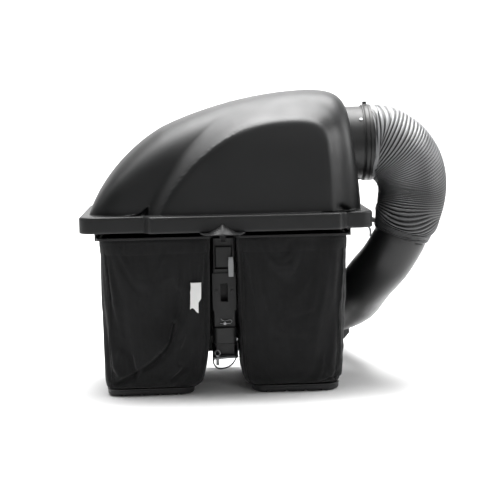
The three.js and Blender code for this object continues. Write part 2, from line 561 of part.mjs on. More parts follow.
function hitch() {
  const { z, thick, halfWidth } = HITCH;
  const plate = push('z', [[-halfWidth, 62], [halfWidth, 92], [halfWidth, PLATE.y - GAP],
    [-halfWidth, PLATE.y - GAP]], z, z + thick);
  add('hitch_plate', 'grey', cut(plate, rod([HITCH_PIN.x, HITCH_PIN.y, z - 5], [0, 0, 1], PIN_R + GAP, 20, 16)));
  add('mount_plate', 'steel', join(
    box(-PLATE.halfWidth, PLATE.halfWidth, PLATE.y, PLATE.y + PLATE.thick, PLATE.bottomZ, PLATE.topZ),
    box(-PLATE.stemHalfWidth, PLATE.stemHalfWidth, PLATE.y, PLATE.y + PLATE.stemThick,
      PLATE.topZ - 1, FRAME.z - GAP)));
  for (const [side, x] of [['left', -halfWidth + 4], ['right', halfWidth - 10]]) {
    add(`gusset_${side}`, 'steel', push('x', [[PLATE.y - 70, z + thick + GAP], [PLATE.y - GAP, z + thick + GAP],
      [PLATE.y - GAP, PLATE.topZ - 4]], x, x + 6));
  }
  const headZ = z + thick + GAP;
  add('hitch_pin', 'zinc', join(
    rod([HITCH_PIN.x, HITCH_PIN.y, z - 22], [0, 0, 1], PIN_R, thick + 26, 16),
    rod([HITCH_PIN.x, HITCH_PIN.y, headZ], [0, 0, 1], PIN_R + 4, 4, 16),
    new THREE.TorusGeometry(9, 2, 8, 20).translate(0, 11, 0)
      .applyMatrix4(new THREE.Matrix4().makeBasis(new THREE.Vector3(1, 0, 0), new THREE.Vector3(0, 0, 1),
        new THREE.Vector3(0, -1, 0))).translate(HITCH_PIN.x, HITCH_PIN.y, headZ + 2)));
  add('lanyard_eye', 'zinc', box(38, 42, 90, 93.7, 172, 180));
  add('lanyard', 'plastic', sweep(new THREE.CatmullRomCurve3(LANYARD.map((p) => new THREE.Vector3(...p))),
    LANYARD_R, 26));
}

const LANYARD_R = 2.4;
const LANYARD = [[40, 91.8, 169.6], [42, 84, 150], [36, 72, 118], [18, 62, 94], [-6, 57, 84], [-28, 55, 85],
  [-41, 54, 100], [-43.5, 60, 122], [-43, 82, 131]];

// ---------------------------------------------------------------- hose and chute
// Rings square to a path; the first and last rings stand square to given directions.
function pathRings(points, radii, startDirection, endDirection, sides) {
  const rings = [];
  let up = new THREE.Vector3(0, 1, 0);
  const last = points.length - 1;
  points.forEach((p, i) => {
    const tangent = points[Math.min(i + 1, last)].clone().sub(points[Math.max(i - 1, 0)]);
    if (i === 0 && startDirection) tangent.copy(startDirection);
    if (i === last && endDirection) tangent.copy(endDirection);
    tangent.normalize();
    up = up.clone().addScaledVector(tangent, -up.dot(tangent)).normalize();
    const side = new THREE.Vector3().crossVectors(tangent, up);
    const points2 = [];
    for (let j = 0; j < sides; j++) {
      const angle = 2 * Math.PI * j / sides;
      points2.push(p.clone().addScaledVector(up, radii[i] * Math.cos(angle))
        .addScaledVector(side, radii[i] * Math.sin(angle)).toArray());
    }
    rings.push(points2);
  });
  return rings;
}

function pipe(points, radii, wall, startDirection, endDirection, sides = 24) {
  const outer = pathRings(points, radii, startDirection, endDirection, sides);
  const inner = pathRings(points, radii.map((r) => r - wall), startDirection, endDirection, sides);
  return skin([...outer, ...inner.reverse()], false);
}

const COLLAR_END = new THREE.Vector3(COLLAR.endX + CUFF.beyond, COLLAR.y, COLLAR.z);
const HOSE_END = COLLAR_END.clone().add(new THREE.Vector3(7.5 + CHUTE.r, -58, -316));
const HOSE_DIRECTION = new THREE.Vector3(-0.3, 0.16, -0.94).normalize();
const OVERLAP = 40;                 // chute inside the hose's end
const HOSE_STEPS = 14;
// Steps from the collar's end, then from the hose's end; the chute turns in once past the bags' front.
const HOSE_ROUTE = [[43, -3, -5], [86, -16, -33], [120, -29, -79], [134, -42, -131], [131, -54, -191]];
const CHUTE_ROUTE = [[-47, 34, -95], [-93, 118, -170], [-112, 208, -223], [-126, 288, -265]];
const CHUTE_FOOT = [[-158, 104, -308], [-190, 224, -337], [-210, 304, -350]];
const X_AXIS = new THREE.Vector3(1, 0, 0);
const NECK_R = CHUTE.r + SLEEVE + HOSE.wall;
const SHOULDER_R = NECK_R + HOSE.shoulder;
// A hose that narrows by less than its taper needs that much more room to bend beside the cuff.
const BEND_ROOM = new THREE.Vector3(HOSE.taper - (HOSE.startR - SHOULDER_R), 0, 0);

function straightBefore(distance) {
  return HOSE_END.clone().addScaledVector(HOSE_DIRECTION, -distance);
}

function hoseAndChute() {
  const start = COLLAR_END.clone().addScaledVector(X_AXIS, GAP);
  const bend = new THREE.CatmullRomCurve3([start, start.clone().addScaledVector(X_AXIS, 14),
    ...HOSE_ROUTE.map((p) => COLLAR_END.clone().add(BEND_ROOM).add(new THREE.Vector3(...p))),
    straightBefore(OVERLAP + 30)]);
  const points = [...bend.getPoints(HOSE_STEPS), straightBefore(OVERLAP + 10), HOSE_END];
  const radii = points.map((p, i) => (i > HOSE_STEPS ? NECK_R
    : HOSE.startR + (SHOULDER_R - HOSE.startR) * i / HOSE_STEPS));
  add('suction_hose', 'hose', pipe(points, radii, HOSE.wall, X_AXIS, HOSE_DIRECTION));

  const top = straightBefore(OVERLAP);
  const run = new THREE.CatmullRomCurve3([HOSE_END, HOSE_END.clone().addScaledVector(HOSE_DIRECTION, 20),
    ...CHUTE_ROUTE.map((p) => HOSE_END.clone().add(new THREE.Vector3(...p))),
    ...CHUTE_FOOT.map(([x, y, z]) => new THREE.Vector3(HOSE_END.x + x, BAG.frontY + y, HOSE_END.z + z))]);
  const chutePoints = [top, ...run.getPoints(16)];
  const end = chutePoints.at(-1);
  const endDirection = end.clone().sub(chutePoints.at(-2)).normalize();
  add('chute_tube', 'tray', pipe(chutePoints, chutePoints.map(() => CHUTE.r), CHUTE.wall, HOSE_DIRECTION,
    endDirection));

  const bandR = NECK_R + SLEEVE;
  const bandBase = straightBefore(26);
  add('lower_hose_clamp', 'steel', ring(bandBase.toArray(), HOSE_DIRECTION.toArray(),
    bandR, bandR + BAND.thick, BAND.width, 32));
  const across = new THREE.Vector3(0, 1, 0).addScaledVector(HOSE_DIRECTION, -HOSE_DIRECTION.y).normalize();
  const out = new THREE.Vector3().crossVectors(across, HOSE_DIRECTION);
  const screwAt = bandBase.clone().addScaledVector(HOSE_DIRECTION, BAND.width / 2)
    .addScaledVector(out, bandR + BAND.thick + GAP + 5);
  add('lower_clamp_screw', 'steel', new THREE.BoxGeometry(10, 28, 12)
    .applyMatrix4(new THREE.Matrix4().makeBasis(out, across, HOSE_DIRECTION)).translate(...screwAt.toArray()));
  const hangZ = FRAME.z - 14.3;
  const hook = HOSE_END.x - NECK_R;
  const wire = new THREE.CatmullRomCurve3([[FRAME.halfWidth - 6, 190, hangZ], [hook - 43, 190, hangZ - 3],
    [hook - 20, 190, hangZ - 5], [hook - 11, 190, hangZ - 14], [hook - 9, 191, hangZ - 28],
    [hook - 10, 192, hangZ - 40]].map((p) => new THREE.Vector3(...p)));
  add('chute_hanger', 'zinc', sweep(wire, 3.5, 16));
  adapter(end, endDirection);
}

// The boot that couples the chute to the mower's deck, ending in a square flange.
const ADAPTER = { length: 90, half: CHUTE.r + 13.5, lip: 25, flangeThick: 8, wall: 5, sleeve: 30 };

function adapter(end, direction) {
  const at = (distance) => end.clone().addScaledVector(direction, distance);
  const sides = 32;
  const frameUp = new THREE.Vector3(0, 0, 1).addScaledVector(direction, -direction.z).normalize();
  const frameSide = new THREE.Vector3().crossVectors(direction, frameUp);
  const ringAt = (distance, half, squareness) => {
    const centre = at(distance);
    const points = [];
    for (let j = 0; j < sides; j++) {
      const angle = 2 * Math.PI * (j + 0.5) / sides;
      const [c, s] = [Math.cos(angle), Math.sin(angle)];
      const reach = half / (Math.abs(c) ** squareness + Math.abs(s) ** squareness) ** (1 / squareness);
      points.push(centre.clone().addScaledVector(frameUp, reach * c).addScaledVector(frameSide, reach * s).toArray());
    }
    return points;
  };
  const sleeveR = CHUTE.r + SLEEVE;
  const w = ADAPTER.wall;
  const mouth = ADAPTER.length + ADAPTER.flangeThick;
  const flangeHalf = ADAPTER.half + ADAPTER.lip;
  const inner = [ringAt(-ADAPTER.sleeve, sleeveR, 2), ringAt(2, sleeveR, 2), ringAt(mouth, ADAPTER.half - w, 8)];
  const outer = [ringAt(-ADAPTER.sleeve, sleeveR + w, 2), ringAt(2, sleeveR + w, 2), ringAt(ADAPTER.length, ADAPTER.half, 8),
    ringAt(ADAPTER.length, flangeHalf, 12), ringAt(mouth, flangeHalf, 12)];
  add('deck_adapter', 'plastic', skin([...outer, ...inner.reverse()], false));
}

// ---------------------------------------------------------------- bags
function bag(side, sign) {
  const xIn = BAG.inner;
  const xOut = BAG.inner + BAG.width;
  const place = (x0, x1) => (sign > 0 ? [x0, x1] : [-x1, -x0]);
  const level = (z, x0, x1, y0, y1, r) =>
    roundedRectangle(...place(x0, x1), y0, y1, r, 3, 3, 5).map(([x, y]) => [x, y, z]);
  const topZ = BAG.rimZ - GAP;
  const floorZ = BAG.trayHeight + GAP;
  // The left bag hangs a little further out than the right one.
  // height, how far the wall stands in from the rim (inner side, outer side, rear, front), corner radius
  const [low, lower, middle] = sign < 0 ? [[66, 16], [34, 10], [12, 8]] : [[45, 35], [17, 29], [5, 27]];
  const [upper, high] = sign < 0 ? [10, 5] : [25, 12];
  const rows = [[floorZ, ...low, 32, 32, 45], [floorZ + 35, ...lower, 12, 14, 50], [110, ...middle, 3, 5, 50],
    [290, 0, upper, 0, 0, 48], [360, 0, high, 0, 0, 46], [topZ, 0, 0, 6, 6, 45]];
  const ringOf = ([z, inside, outside, rear, front, r], t) =>
    level(z, xIn + inside + t, xOut - outside - t, BAG.rearY + rear + t, BAG.frontY - front - t, r - t);
  const t = BAG.wall;
  const rings = rows.map((line) => ringOf(line, 0));
  const inner = rows.map((line) => ringOf(line, t));
  inner[0] = inner[0].map(([x, y, z]) => [x, y, z + t]);
  add(`${side}_bag_fabric`, 'fabric', skin([...rings, ...inner.reverse()], true));

  const [r0, r1] = place(xIn - BAG.rimLip, xOut + BAG.rimLip);
  const [h0, h1] = place(xIn + t, xOut - t);
  add(`${side}_bag_rim`, 'steel', push('z', roundedRectangle(r0, r1, BAG.rearY - 4, BAG.frontY + 4, 30),
    BAG.rimZ, BAG.rimZ + BAG.rimHeight,
    roundedRectangle(h0, h1, BAG.rearY + 6 + t, BAG.frontY - 6 - t, 41)));
  const trayOf = (z, out, inY, r) =>
    level(z, xIn + low[0] + out, xOut - low[1] - out, BAG.rearY + inY, BAG.frontY - inY, r);
  const tray = [trayOf(0, 10, 34, 40), trayOf(5, -3, 22, 50), trayOf(BAG.trayHeight, -5, 20, 50)];
  add(`${side}_bag_tray`, 'tray', skin(tray, true));
}

function label() {
  add('bag_label', 'paper', box(-117, -78, BAG.rearY - GAP - 1, BAG.rearY - GAP, 288, 381));
}

hood();
gripAndLatch();
hinges();
frame();
post();
hitch();
hoseAndChute();
bag('left', -1);
bag('right', 1);
label();

export default part;
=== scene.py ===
# %% [markdown]
# A twin bag collector for a ride-on mower: a moulded hood over two cloth bags, fed by a ribbed hose.
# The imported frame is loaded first. Everything made here is fitted around it, in metres, in the same frame.

# %% Load the frame
import json
import math
import bmesh
import bpy
import numpy as np
from mathutils import Matrix, Vector


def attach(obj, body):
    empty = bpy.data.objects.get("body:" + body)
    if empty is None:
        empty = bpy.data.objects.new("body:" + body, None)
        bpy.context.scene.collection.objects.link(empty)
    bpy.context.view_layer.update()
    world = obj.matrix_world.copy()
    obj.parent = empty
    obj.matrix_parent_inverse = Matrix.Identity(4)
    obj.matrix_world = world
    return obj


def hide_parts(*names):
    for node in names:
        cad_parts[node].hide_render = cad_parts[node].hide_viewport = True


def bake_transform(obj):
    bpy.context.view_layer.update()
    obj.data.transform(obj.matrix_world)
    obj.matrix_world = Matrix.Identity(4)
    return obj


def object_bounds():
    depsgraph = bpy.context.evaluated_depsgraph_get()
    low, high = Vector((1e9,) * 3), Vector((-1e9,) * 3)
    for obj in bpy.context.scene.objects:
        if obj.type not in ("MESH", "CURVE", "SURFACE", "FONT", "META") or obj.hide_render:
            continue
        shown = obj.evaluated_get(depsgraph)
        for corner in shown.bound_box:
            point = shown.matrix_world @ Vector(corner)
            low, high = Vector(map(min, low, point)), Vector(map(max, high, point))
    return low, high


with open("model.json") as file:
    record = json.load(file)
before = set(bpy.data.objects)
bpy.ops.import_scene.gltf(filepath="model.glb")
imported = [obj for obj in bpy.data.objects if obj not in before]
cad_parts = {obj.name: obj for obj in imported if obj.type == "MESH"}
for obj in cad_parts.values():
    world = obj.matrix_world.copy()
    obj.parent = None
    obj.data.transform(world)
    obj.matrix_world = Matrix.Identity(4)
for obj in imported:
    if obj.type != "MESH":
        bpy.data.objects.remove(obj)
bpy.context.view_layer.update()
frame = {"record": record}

random = np.random.default_rng(7)

# %% [markdown]
# The maker's drawing has its zero under the bags' trays, and the row's zero is the mount plate's face.
# All sizes below are drawing millimetres, and one function turns them into the row's metres.

# %% Drawing millimetres to row metres
DRAWING_ZERO = np.array([0, 516, 130])


def row(points):
    """Drawing millimetres to row metres: subtract the mount face's place and divide by a thousand."""
    return (np.asarray(points, float) - DRAWING_ZERO) / 1000


# %% [markdown]
# The camera stands four and a half metres behind the collector, a little to its left and a metre up.
# It comes first, because the length of a cord is judged by what the camera sees.

# %% Camera
camera_data = bpy.data.cameras.new("camera")
camera_data.sensor_width = 36
camera_data.lens = 98.2
camera = bpy.data.objects.new("camera", camera_data)
bpy.context.collection.objects.link(camera)
CAMERA_AT = (-94, -4500, 990)
YAW, PITCH, ROLL = map(math.radians, (-2.3, -6.32, -1.2))
camera.matrix_world = (Matrix.Translation(row(CAMERA_AT)) @ Matrix.Rotation(YAW, 4, "Z")
                       @ Matrix.Rotation(math.pi / 2 + PITCH, 4, "X") @ Matrix.Rotation(ROLL, 4, "Z"))
bpy.context.scene.camera = camera

# %% [markdown]
# Every new surface is a grid of points worked out as one array. This helper turns the grid into a mesh
# with a UV map in metres, so that a weave keeps its size however the cloth bends.

# %% Grid to mesh


def link(mesh, name):
    """Puts a mesh in the scene as an object at the origin."""
    piece = bpy.data.objects.new(name, mesh)
    bpy.context.collection.objects.link(piece)
    return piece


def swap(piece, body, slot, *nodes):
    """Binds a new piece: it rides on a body and stands for CAD nodes. The slot is not used."""
    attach(piece, body)
    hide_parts(*nodes)
    return piece


def arc(points, axis):
    """Length run along one way of a grid, zero at its start: the running sum of the gaps between points."""
    gaps = np.linalg.norm(np.diff(points, axis=axis), axis=-1)
    start = np.zeros_like(np.take(gaps, [0], axis=axis))
    return np.cumsum(np.concatenate([start, gaps], axis=axis), axis=axis)


def grid_mesh(name, points, wrap=True, loop=False, caps=False, crown=False, drop=None):
    """A grid of rows by columns in row metres becomes quads. wrap joins the last column to the first,
    loop the last row to the first. caps closes both end rows with a fan on their own middle, crown only
    the last. drop is a mask of points: a quad with all four corners in it is left out."""
    rows, cols = points.shape[:2]
    across = cols if wrap else cols - 1
    down = rows if loop else rows - 1
    i, j = np.meshgrid(np.arange(down), np.arange(across), indexing="ij")
    quads = np.stack([i * cols + j, i * cols + (j + 1) % cols,
                      (i + 1) % rows * cols + (j + 1) % cols, (i + 1) % rows * cols + j], -1).reshape(-1, 4)
    if drop is not None:
        quads = quads[~drop.reshape(-1)[quads].all(axis=1)]
    co = points.reshape(-1, 3)
    corner = quads.reshape(-1)
    starts = np.arange(len(quads)) * 4
    if caps or crown:
        middle = len(co) + np.arange(2)
        co = np.vstack([co, points[0].mean(0), points[-1].mean(0)])
        j = np.arange(cols)
        k = (j + 1) % cols
        last = (rows - 1) * cols
        fans = np.concatenate([np.stack([np.full(cols, middle[0]), k, j], -1),
                               np.stack([np.full(cols, middle[1]), last + j, last + k], -1)])
        fans = fans[cols:] if crown else fans
        starts = np.concatenate([starts, len(corner) + 3 * np.arange(len(fans))])
        corner = np.concatenate([corner, fans.reshape(-1)])
    mesh = bpy.data.meshes.new(name)
    mesh.vertices.add(len(co))
    mesh.vertices.foreach_set("co", co.astype(np.float32).ravel())
    mesh.loops.add(len(corner))
    mesh.loops.foreach_set("vertex_index", corner.astype(np.int32))
    mesh.polygons.add(len(starts))
    mesh.polygons.foreach_set("loop_start", starts.astype(np.int32))
    mesh.update(calc_edges=True)
    u = np.append(arc(points, 1).reshape(-1), [0, 0])
    v = np.append(arc(points, 0).reshape(-1), [0, 0])
    layer = mesh.uv_layers.new(name="cloth")
    layer.uv.foreach_set("vector", np.stack([u[corner], v[corner]], -1).astype(np.float32).ravel())
    mesh.validate()
    mesh.shade_smooth()
    piece = link(mesh, name)
    print(name, len(mesh.vertices), "points", len(mesh.polygons), "faces")
    return piece


# %% [markdown]
# Profiles and outlines. A rounded rectangle is walked the same way round for every size, so that two of
# them can be joined point to point, and curves through a few chosen points carry hoses and wires.

# %% Outlines and paths


def rounded_rectangle(x0, x1, y0, y1, r, nx, ny, nc):
    """Straight sides and quarter circles, anticlockwise from the right side's lower end."""
    def side(a, b, n):
        return np.linspace(a, b, n, endpoint=False)

    def corner(cx, cy, start):
        angle = start + np.linspace(0, np.pi / 2, nc, endpoint=False)
        return np.stack([cx + r * np.cos(angle), cy + r * np.sin(angle)], -1)
    return np.concatenate([
        side((x1, y0 + r), (x1, y1 - r), ny), corner(x1 - r, y1 - r, 0),
        side((x1 - r, y1), (x0 + r, y1), nx), corner(x0 + r, y1 - r, np.pi / 2),
        side((x0, y1 - r), (x0, y0 + r), ny), corner(x0 + r, y0 + r, np.pi),
        side((x0 + r, y0), (x1 - r, y0), nx), corner(x1 - r, y0 + r, -np.pi / 2)])


def through(points, per_span):
    """A smooth curve through the points: on each span a cubic whose ends lean along their neighbours."""
    p = np.asarray(points, float)
    p = np.vstack([2 * p[0] - p[1], p, 2 * p[-1] - p[-2]])
    t = np.linspace(0, 1, per_span, endpoint=False)[:, None]
    spans = []
    for a, b, c, d in zip(p, p[1:], p[2:], p[3:]):
        spans.append(0.5 * (2 * b + (c - a) * t + (2 * a - 5 * b + 4 * c - d) * t ** 2
                            + (3 * b - a - 3 * c + d) * t ** 3))
    return np.vstack([*spans, p[-2]])


def evenly(path, count):
    """The same path with its points spread evenly along its length."""
    run = arc(path, 0)
    want = np.linspace(0, run[-1], count)
    return np.stack([np.interp(want, run, path[:, k]) for k in range(3)], -1)


def sweep(path, radii, cols, start=None, end=None):
    """Circles square to a path. The circle's zero direction is carried along without twisting."""
    tangent = np.gradient(path, axis=0)
    if start is not None:
        tangent[0] = start
    if end is not None:
        tangent[-1] = end
    tangent /= np.linalg.norm(tangent, axis=1, keepdims=True)
    up = np.zeros_like(path)
    carried = np.array([0.0, 1, 0])
    for k, t in enumerate(tangent):
        carried = carried - t * (carried @ t)
        carried = carried / np.linalg.norm(carried)
        up[k] = carried
    side = np.cross(tangent, up)
    angle = np.linspace(0, 2 * np.pi, cols, endpoint=False)
    radii = np.asarray(radii, float) * np.ones(len(path)) if np.ndim(radii) < 2 else radii
    r = radii[:, None] if radii.ndim == 1 else radii
    return (path[:, None] + r[..., None] * (np.cos(angle)[None, :, None] * up[:, None]
                                            + np.sin(angle)[None, :, None] * side[:, None]))


# %% [markdown]
# The hood is blow-moulded black plastic. Seen from behind, its outline is a few cubic curves, and from
# front to back each slice is a rounded arch. A flat panel, bounded by a second outline, stands out of the
# rear. The whole skin is worked out as lines running from the crown down to the skirt, all round. It could
# be sculpted, but worked out this way its outline follows a handful of numbers.

# %% Hood: outlines
HOOD = {"x": 11, "half": 491, "rear": 0, "front": 600, "flange": 611, "skirt": 55, "ledge": 28,
        "high": 407, "corner": 50, "dome_corner": 110, "bulge": 40, "draft": 12, "wall": 5, "round": 3.2}
# the rear panel: its edge's rounding, how steeply and how much faster it falls past its arch, where the
# faster fall starts, the fillet to the dome, and how far its top leans forward
PANEL = {"edge": 7, "fall": 1.7, "faster": 0.02, "from": 40, "fillet": 34, "lean": 15}
SILHOUETTE = [(-1, 0),
              (-0.952, 0.219, -0.737, 0.538, -0.454, 0.713), (-0.153, 0.872, 0.279, 1, 0.641, 1),
              (0.851, 1, 0.918, 0.936, 0.935, 0.722), (0.959, 0.587, 0.991, 0.317, 1, 0)]
ARCH = [(-0.486, 0),
        (-0.413, 0.219, -0.197, 0.514, 0.093, 0.671), (0.214, 0.730, 0.343, 0.759, 0.516, 0.759),
        (0.689, 0.759, 0.736, 0.686, 0.749, 0.538), (0.760, 0.415, 0.769, 0.219, 0.773, 0)]
DOME_HALF = HOOD["half"] - HOOD["ledge"]
DOME_Y = (HOOD["rear"] + HOOD["ledge"], HOOD["front"] - HOOD["ledge"])
MIDDLE = (HOOD["x"], sum(DOME_Y) / 2)


def outline(curves):
    """Cubic curves end to end, in shares of the dome's half width and height, turned to millimetres."""
    t = np.linspace(0, 1, 60)[:, None]
    here = np.array(curves[0], float)
    pieces = []
    for curve in curves[1:]:
        a, b, c = np.array(curve, float).reshape(3, 2)
        pieces.append((1 - t) ** 3 * here + 3 * t * (1 - t) ** 2 * a
                      + 3 * t ** 2 * (1 - t) * b + t ** 3 * c)
        here = c
    line = np.vstack(pieces)
    return HOOD["x"] + line[:, 0] * DOME_HALF, line[:, 1] * HOOD["high"]


silhouette = outline(SILHOUETTE)
arch = outline(ARCH)


def dome_height(x, y):
    """Height over the flange: the silhouette's height there times a rounded arch from front to back."""
    beyond = np.clip(np.abs(x - HOOD["x"]) - (DOME_HALF - HOOD["dome_corner"]), 0, HOOD["dome_corner"])
    corner = np.sqrt(HOOD["dome_corner"] ** 2 - beyond ** 2)
    half_depth = np.maximum(1, (DOME_Y[1] - DOME_Y[0]) / 2 - HOOD["dome_corner"] + corner)
    share = np.clip(np.abs(y - MIDDLE[1]) / half_depth, 0, 1)
    return np.interp(x, *silhouette) * (1 - share ** HOOD["round"]) ** (1 / HOOD["round"])


def smaller(a, b, blend):
    """The smaller of two values, with the change from one to the other rounded over the blend length."""
    h = np.clip(0.5 + 0.5 * (b - a) / blend, 0, 1)
    return b + (a - b) * h - blend * h * (1 - h)


def outside_arch(x, height):
    """Distance outside the panel's arch, negative inside: to the nearest point of the arch's line."""
    flat = np.stack([x.ravel(), height.ravel()], -1)
    line = np.stack(arch, -1)
    gap = np.concatenate([np.sqrt(((part[:, None] - line[None]) ** 2).sum(-1)).min(1)
                          for part in np.array_split(flat, 40)]).reshape(x.shape)
    inside = height < np.interp(x, arch[0], arch[1], left=0, right=0)
    return np.where(inside, -gap, gap)


def with_panel(x, y, z):
    """The rear panel is a plane that stands out of the dome and falls away past its arch over a rounded
    edge: by the softened distance outside the arch, and far out by its square too."""
    height = z - HOOD["flange"]
    outside = outside_arch(x, height)
    fall = (PANEL["fall"] * PANEL["edge"] * np.logaddexp(0, outside / PANEL["edge"])
            + PANEL["faster"] * np.clip(outside - PANEL["from"], 0, None) ** 2)
    lean = PANEL["lean"] * np.clip(height / HOOD["high"] / 0.34 - 1.25, 0, None) ** 2
    panel = DOME_Y[0] - HOOD["bulge"] + HOOD["draft"] * height / HOOD["high"] + lean + fall
    return np.where(y < MIDDLE[1], smaller(y, panel, PANEL["fillet"]), y)


def ease(t):
    """Nought to one with level ends: three t squared less two t cubed."""
    t = np.clip(t, 0, 1)
    return t * t * (3 - 2 * t)


# %% Hood: skin
STEPS = (HOOD["x"] - 0.572 * DOME_HALF, HOOD["x"] + 0.834 * DOME_HALF)
AROUND = (170, 60, 16)
ROWS = 130


def flange(shrink):
    """The flange's outline, shrunk by some millimetres: its rear middle steps out by the panel's bulge."""
    x0, x1 = HOOD["x"] - HOOD["half"] + shrink, HOOD["x"] + HOOD["half"] - shrink
    xy = rounded_rectangle(x0, x1, HOOD["rear"] + shrink, HOOD["front"] - shrink,
                           HOOD["corner"] - shrink, *AROUND)
    left, right = STEPS
    step = ease((xy[:, 0] - left) / 32 + 0.5) * ease((right - xy[:, 0]) / 32 + 0.5)
    xy[:, 1] -= np.where(xy[:, 1] < HOOD["rear"] + HOOD["corner"], HOOD["bulge"] * step, 0)
    return xy


def level(xy, z):
    """An outline given a height."""
    return np.column_stack([xy, np.full(len(xy), float(z))])


def pockets(x, y, height):
    """A small three-sided pocket over each step of the flange: its roof leans up towards the panel."""
    depth = np.zeros_like(x)
    for at, way in zip(STEPS, (1, -1)):
        u = way * (x - at)
        depth += 18 * ease((0.78 * (u + 33) - height) / 9) * ease((0.29 * height + 4 - u) / 9)
    return y + np.where((y < DOME_Y[0] + 60) & (height < 60), depth, 0)


def hood_skin():
    """Lines from the crown to the dome's foot, spread evenly along their length, then the flange's rows."""
    plan = rounded_rectangle(HOOD["x"] - DOME_HALF, HOOD["x"] + DOME_HALF, *DOME_Y,
                             HOOD["dome_corner"], *AROUND)
    share = np.sin(np.pi / 2 * np.linspace(0.02, 1, 500))
    x = MIDDLE[0] + (plan[:, :1] - MIDDLE[0]) * share
    y = MIDDLE[1] + (plan[:, 1:] - MIDDLE[1]) * share
    z = HOOD["flange"] + np.where(share < 1, dome_height(x, y), 0)
    lines = np.stack([x, y, z], -1)
    dome = np.stack([evenly(line, ROWS) for line in lines], 1)
    dome[..., 1] = with_panel(dome[..., 0], dome[..., 1], dome[..., 2])
    dome[..., 1] = pockets(dome[..., 0], dome[..., 1], dome[..., 2] - HOOD["flange"])
    foot, rim = dome[-1, :, :2], flange(7)
    ledge = [level(foot + (rim - foot) * t, HOOD["flange"] + 3 * (1 - t) ** 4)
             for t in (0.12, 0.3, 0.5, 0.7, 0.9, 1)]
    turn = [level(flange(7 * (1 - np.sin(a))), HOOD["flange"] - 7 * (1 - np.cos(a)))
            for a in np.radians((18, 36, 54, 72, 90))]
    bottom = HOOD["flange"] - HOOD["skirt"]
    drop = [level(flange(0), z) for z in np.linspace(HOOD["flange"] - 14, bottom + 4, 7)]
    curl = [level(flange(1), bottom + 1), level(flange(3), bottom)]
    return np.stack([*dome, *ledge, *turn, *drop, *curl])


COLLAR = {"r": 126, "y": 250, "z": 831, "end": 521}
skin = hood_skin()
from_axis = skin[..., 1:] - (COLLAR["y"], COLLAR["z"])
reach = np.linalg.norm(from_axis, axis=-1)
right_wall = (skin[..., 0] > 330) & (skin[..., 2] > HOOD["flange"] + 20)
near = right_wall & (np.abs(reach - COLLAR["r"]) < 4)
onto_ring = from_axis * (COLLAR["r"] / np.maximum(reach, 1) - 1)[..., None]
skin[..., 1:] += np.where(near[..., None], onto_ring, 0)
reach = np.linalg.norm(skin[..., 1:] - (COLLAR["y"], COLLAR["z"]), axis=-1)
bore = right_wall & (reach < COLLAR["r"] + 0.1)
hood = grid_mesh("hood", row(skin[::-1]), crown=True, drop=bore[::-1])
wall = hood.modifiers.new("wall", "SOLIDIFY")
wall.thickness = HOOD["wall"] / 1000
wall.offset = -1
swap(hood, "hood", "hood_plastic", "hood_shell")


# %% [markdown]
# Each bag is a cloth shell hung from a flat rim, with a moulded tray clipped under it. The shell is a
# stack of rounded rectangles from the tray to the rim. Its folds are pushed in one by one, and a short cloth
# simulation, pinned at the rim and at the tray, then lets the cloth hang and buckle between them.

# %% Bag shell
BAG = {"inner": 47, "width": 368, "rear": 14, "front": 496, "rim": 531, "tray": 25}
# height, then how far the wall stands in from the rim's outline: inner side, outer side, rear, front
RIGHT_LEVELS = np.array([(27, 45, 35, 32, 32), (34, 34, 31, 21, 22), (60, 16, 29, 11, 13),
                         (110, 5, 27, 3, 5), (200, 1, 26, 0, 0), (290, 0, 25, 0, 0), (360, 0, 12, 0, 0),
                         (450, 0, 4, 2, 2), (529, 0, 0, 6, 6)], float)
# the left bag stands further out low down: what its inner and outer insets gain at the same heights
LEFT_LEVELS = RIGHT_LEVELS.copy()
LEFT_LEVELS[:, 1] += [21, 20, 17, 7, 2, 0, 0, 0, 0]
LEFT_LEVELS[:, 2] -= [19, 19, 19, 19, 17, 13, 5, 2, 0]
BAG_CORNER = 46
BAG_AROUND = (46, 58, 12)


def bag_grid(sign):
    """Rounded rectangles one over another, their insets read off the level table for each height."""
    levels = LEFT_LEVELS if sign < 0 else RIGHT_LEVELS
    z = np.linspace(levels[0, 0], levels[-1, 0], 78)
    soft = [np.interp(z, levels[:, 0], levels[:, k]) for k in range(1, 5)]
    rings = []
    for height, inner, outer, rear, front in zip(z, *soft):
        x0, x1 = BAG["inner"] + inner, BAG["inner"] + BAG["width"] - outer
        if sign < 0:
            x0, x1 = -x1, -x0
        rings.append(level(rounded_rectangle(x0, x1, BAG["rear"] + rear, BAG["front"] - front,
                                             BAG_CORNER, *BAG_AROUND), height))
    return np.stack(rings)


def crease(grid, start, end, depth, width):
    """A valley along a line on the rear wall: its depth falls off as a bell across the line and tapers to
    its ends. Positive depth pushes the cloth inwards, forward of the wall."""
    a, b = np.array(start, float), np.array(end, float)
    xz = grid[..., [0, 2]]
    along = (xz - a) @ (b - a) / ((b - a) @ (b - a))
    across = np.linalg.norm(xz - (a + np.clip(along, 0, 1)[..., None] * (b - a)), axis=-1)
    taper = ease(along / 0.25) * ease((1 - along) / 0.25)
    rear = grid[..., 1] < 120
    grid[..., 1] += np.where(rear, depth * taper * np.exp(-(across / width) ** 2), 0)


def dent(grid, centre, depth, size):
    """A shallow hollow on the rear wall: a bell of the given half sizes about a centre."""
    d = ((grid[..., 0] - centre[0]) / size[0]) ** 2 + ((grid[..., 2] - centre[1]) / size[1]) ** 2
    grid[..., 1] += np.where(grid[..., 1] < 120, depth * np.exp(-d), 0)


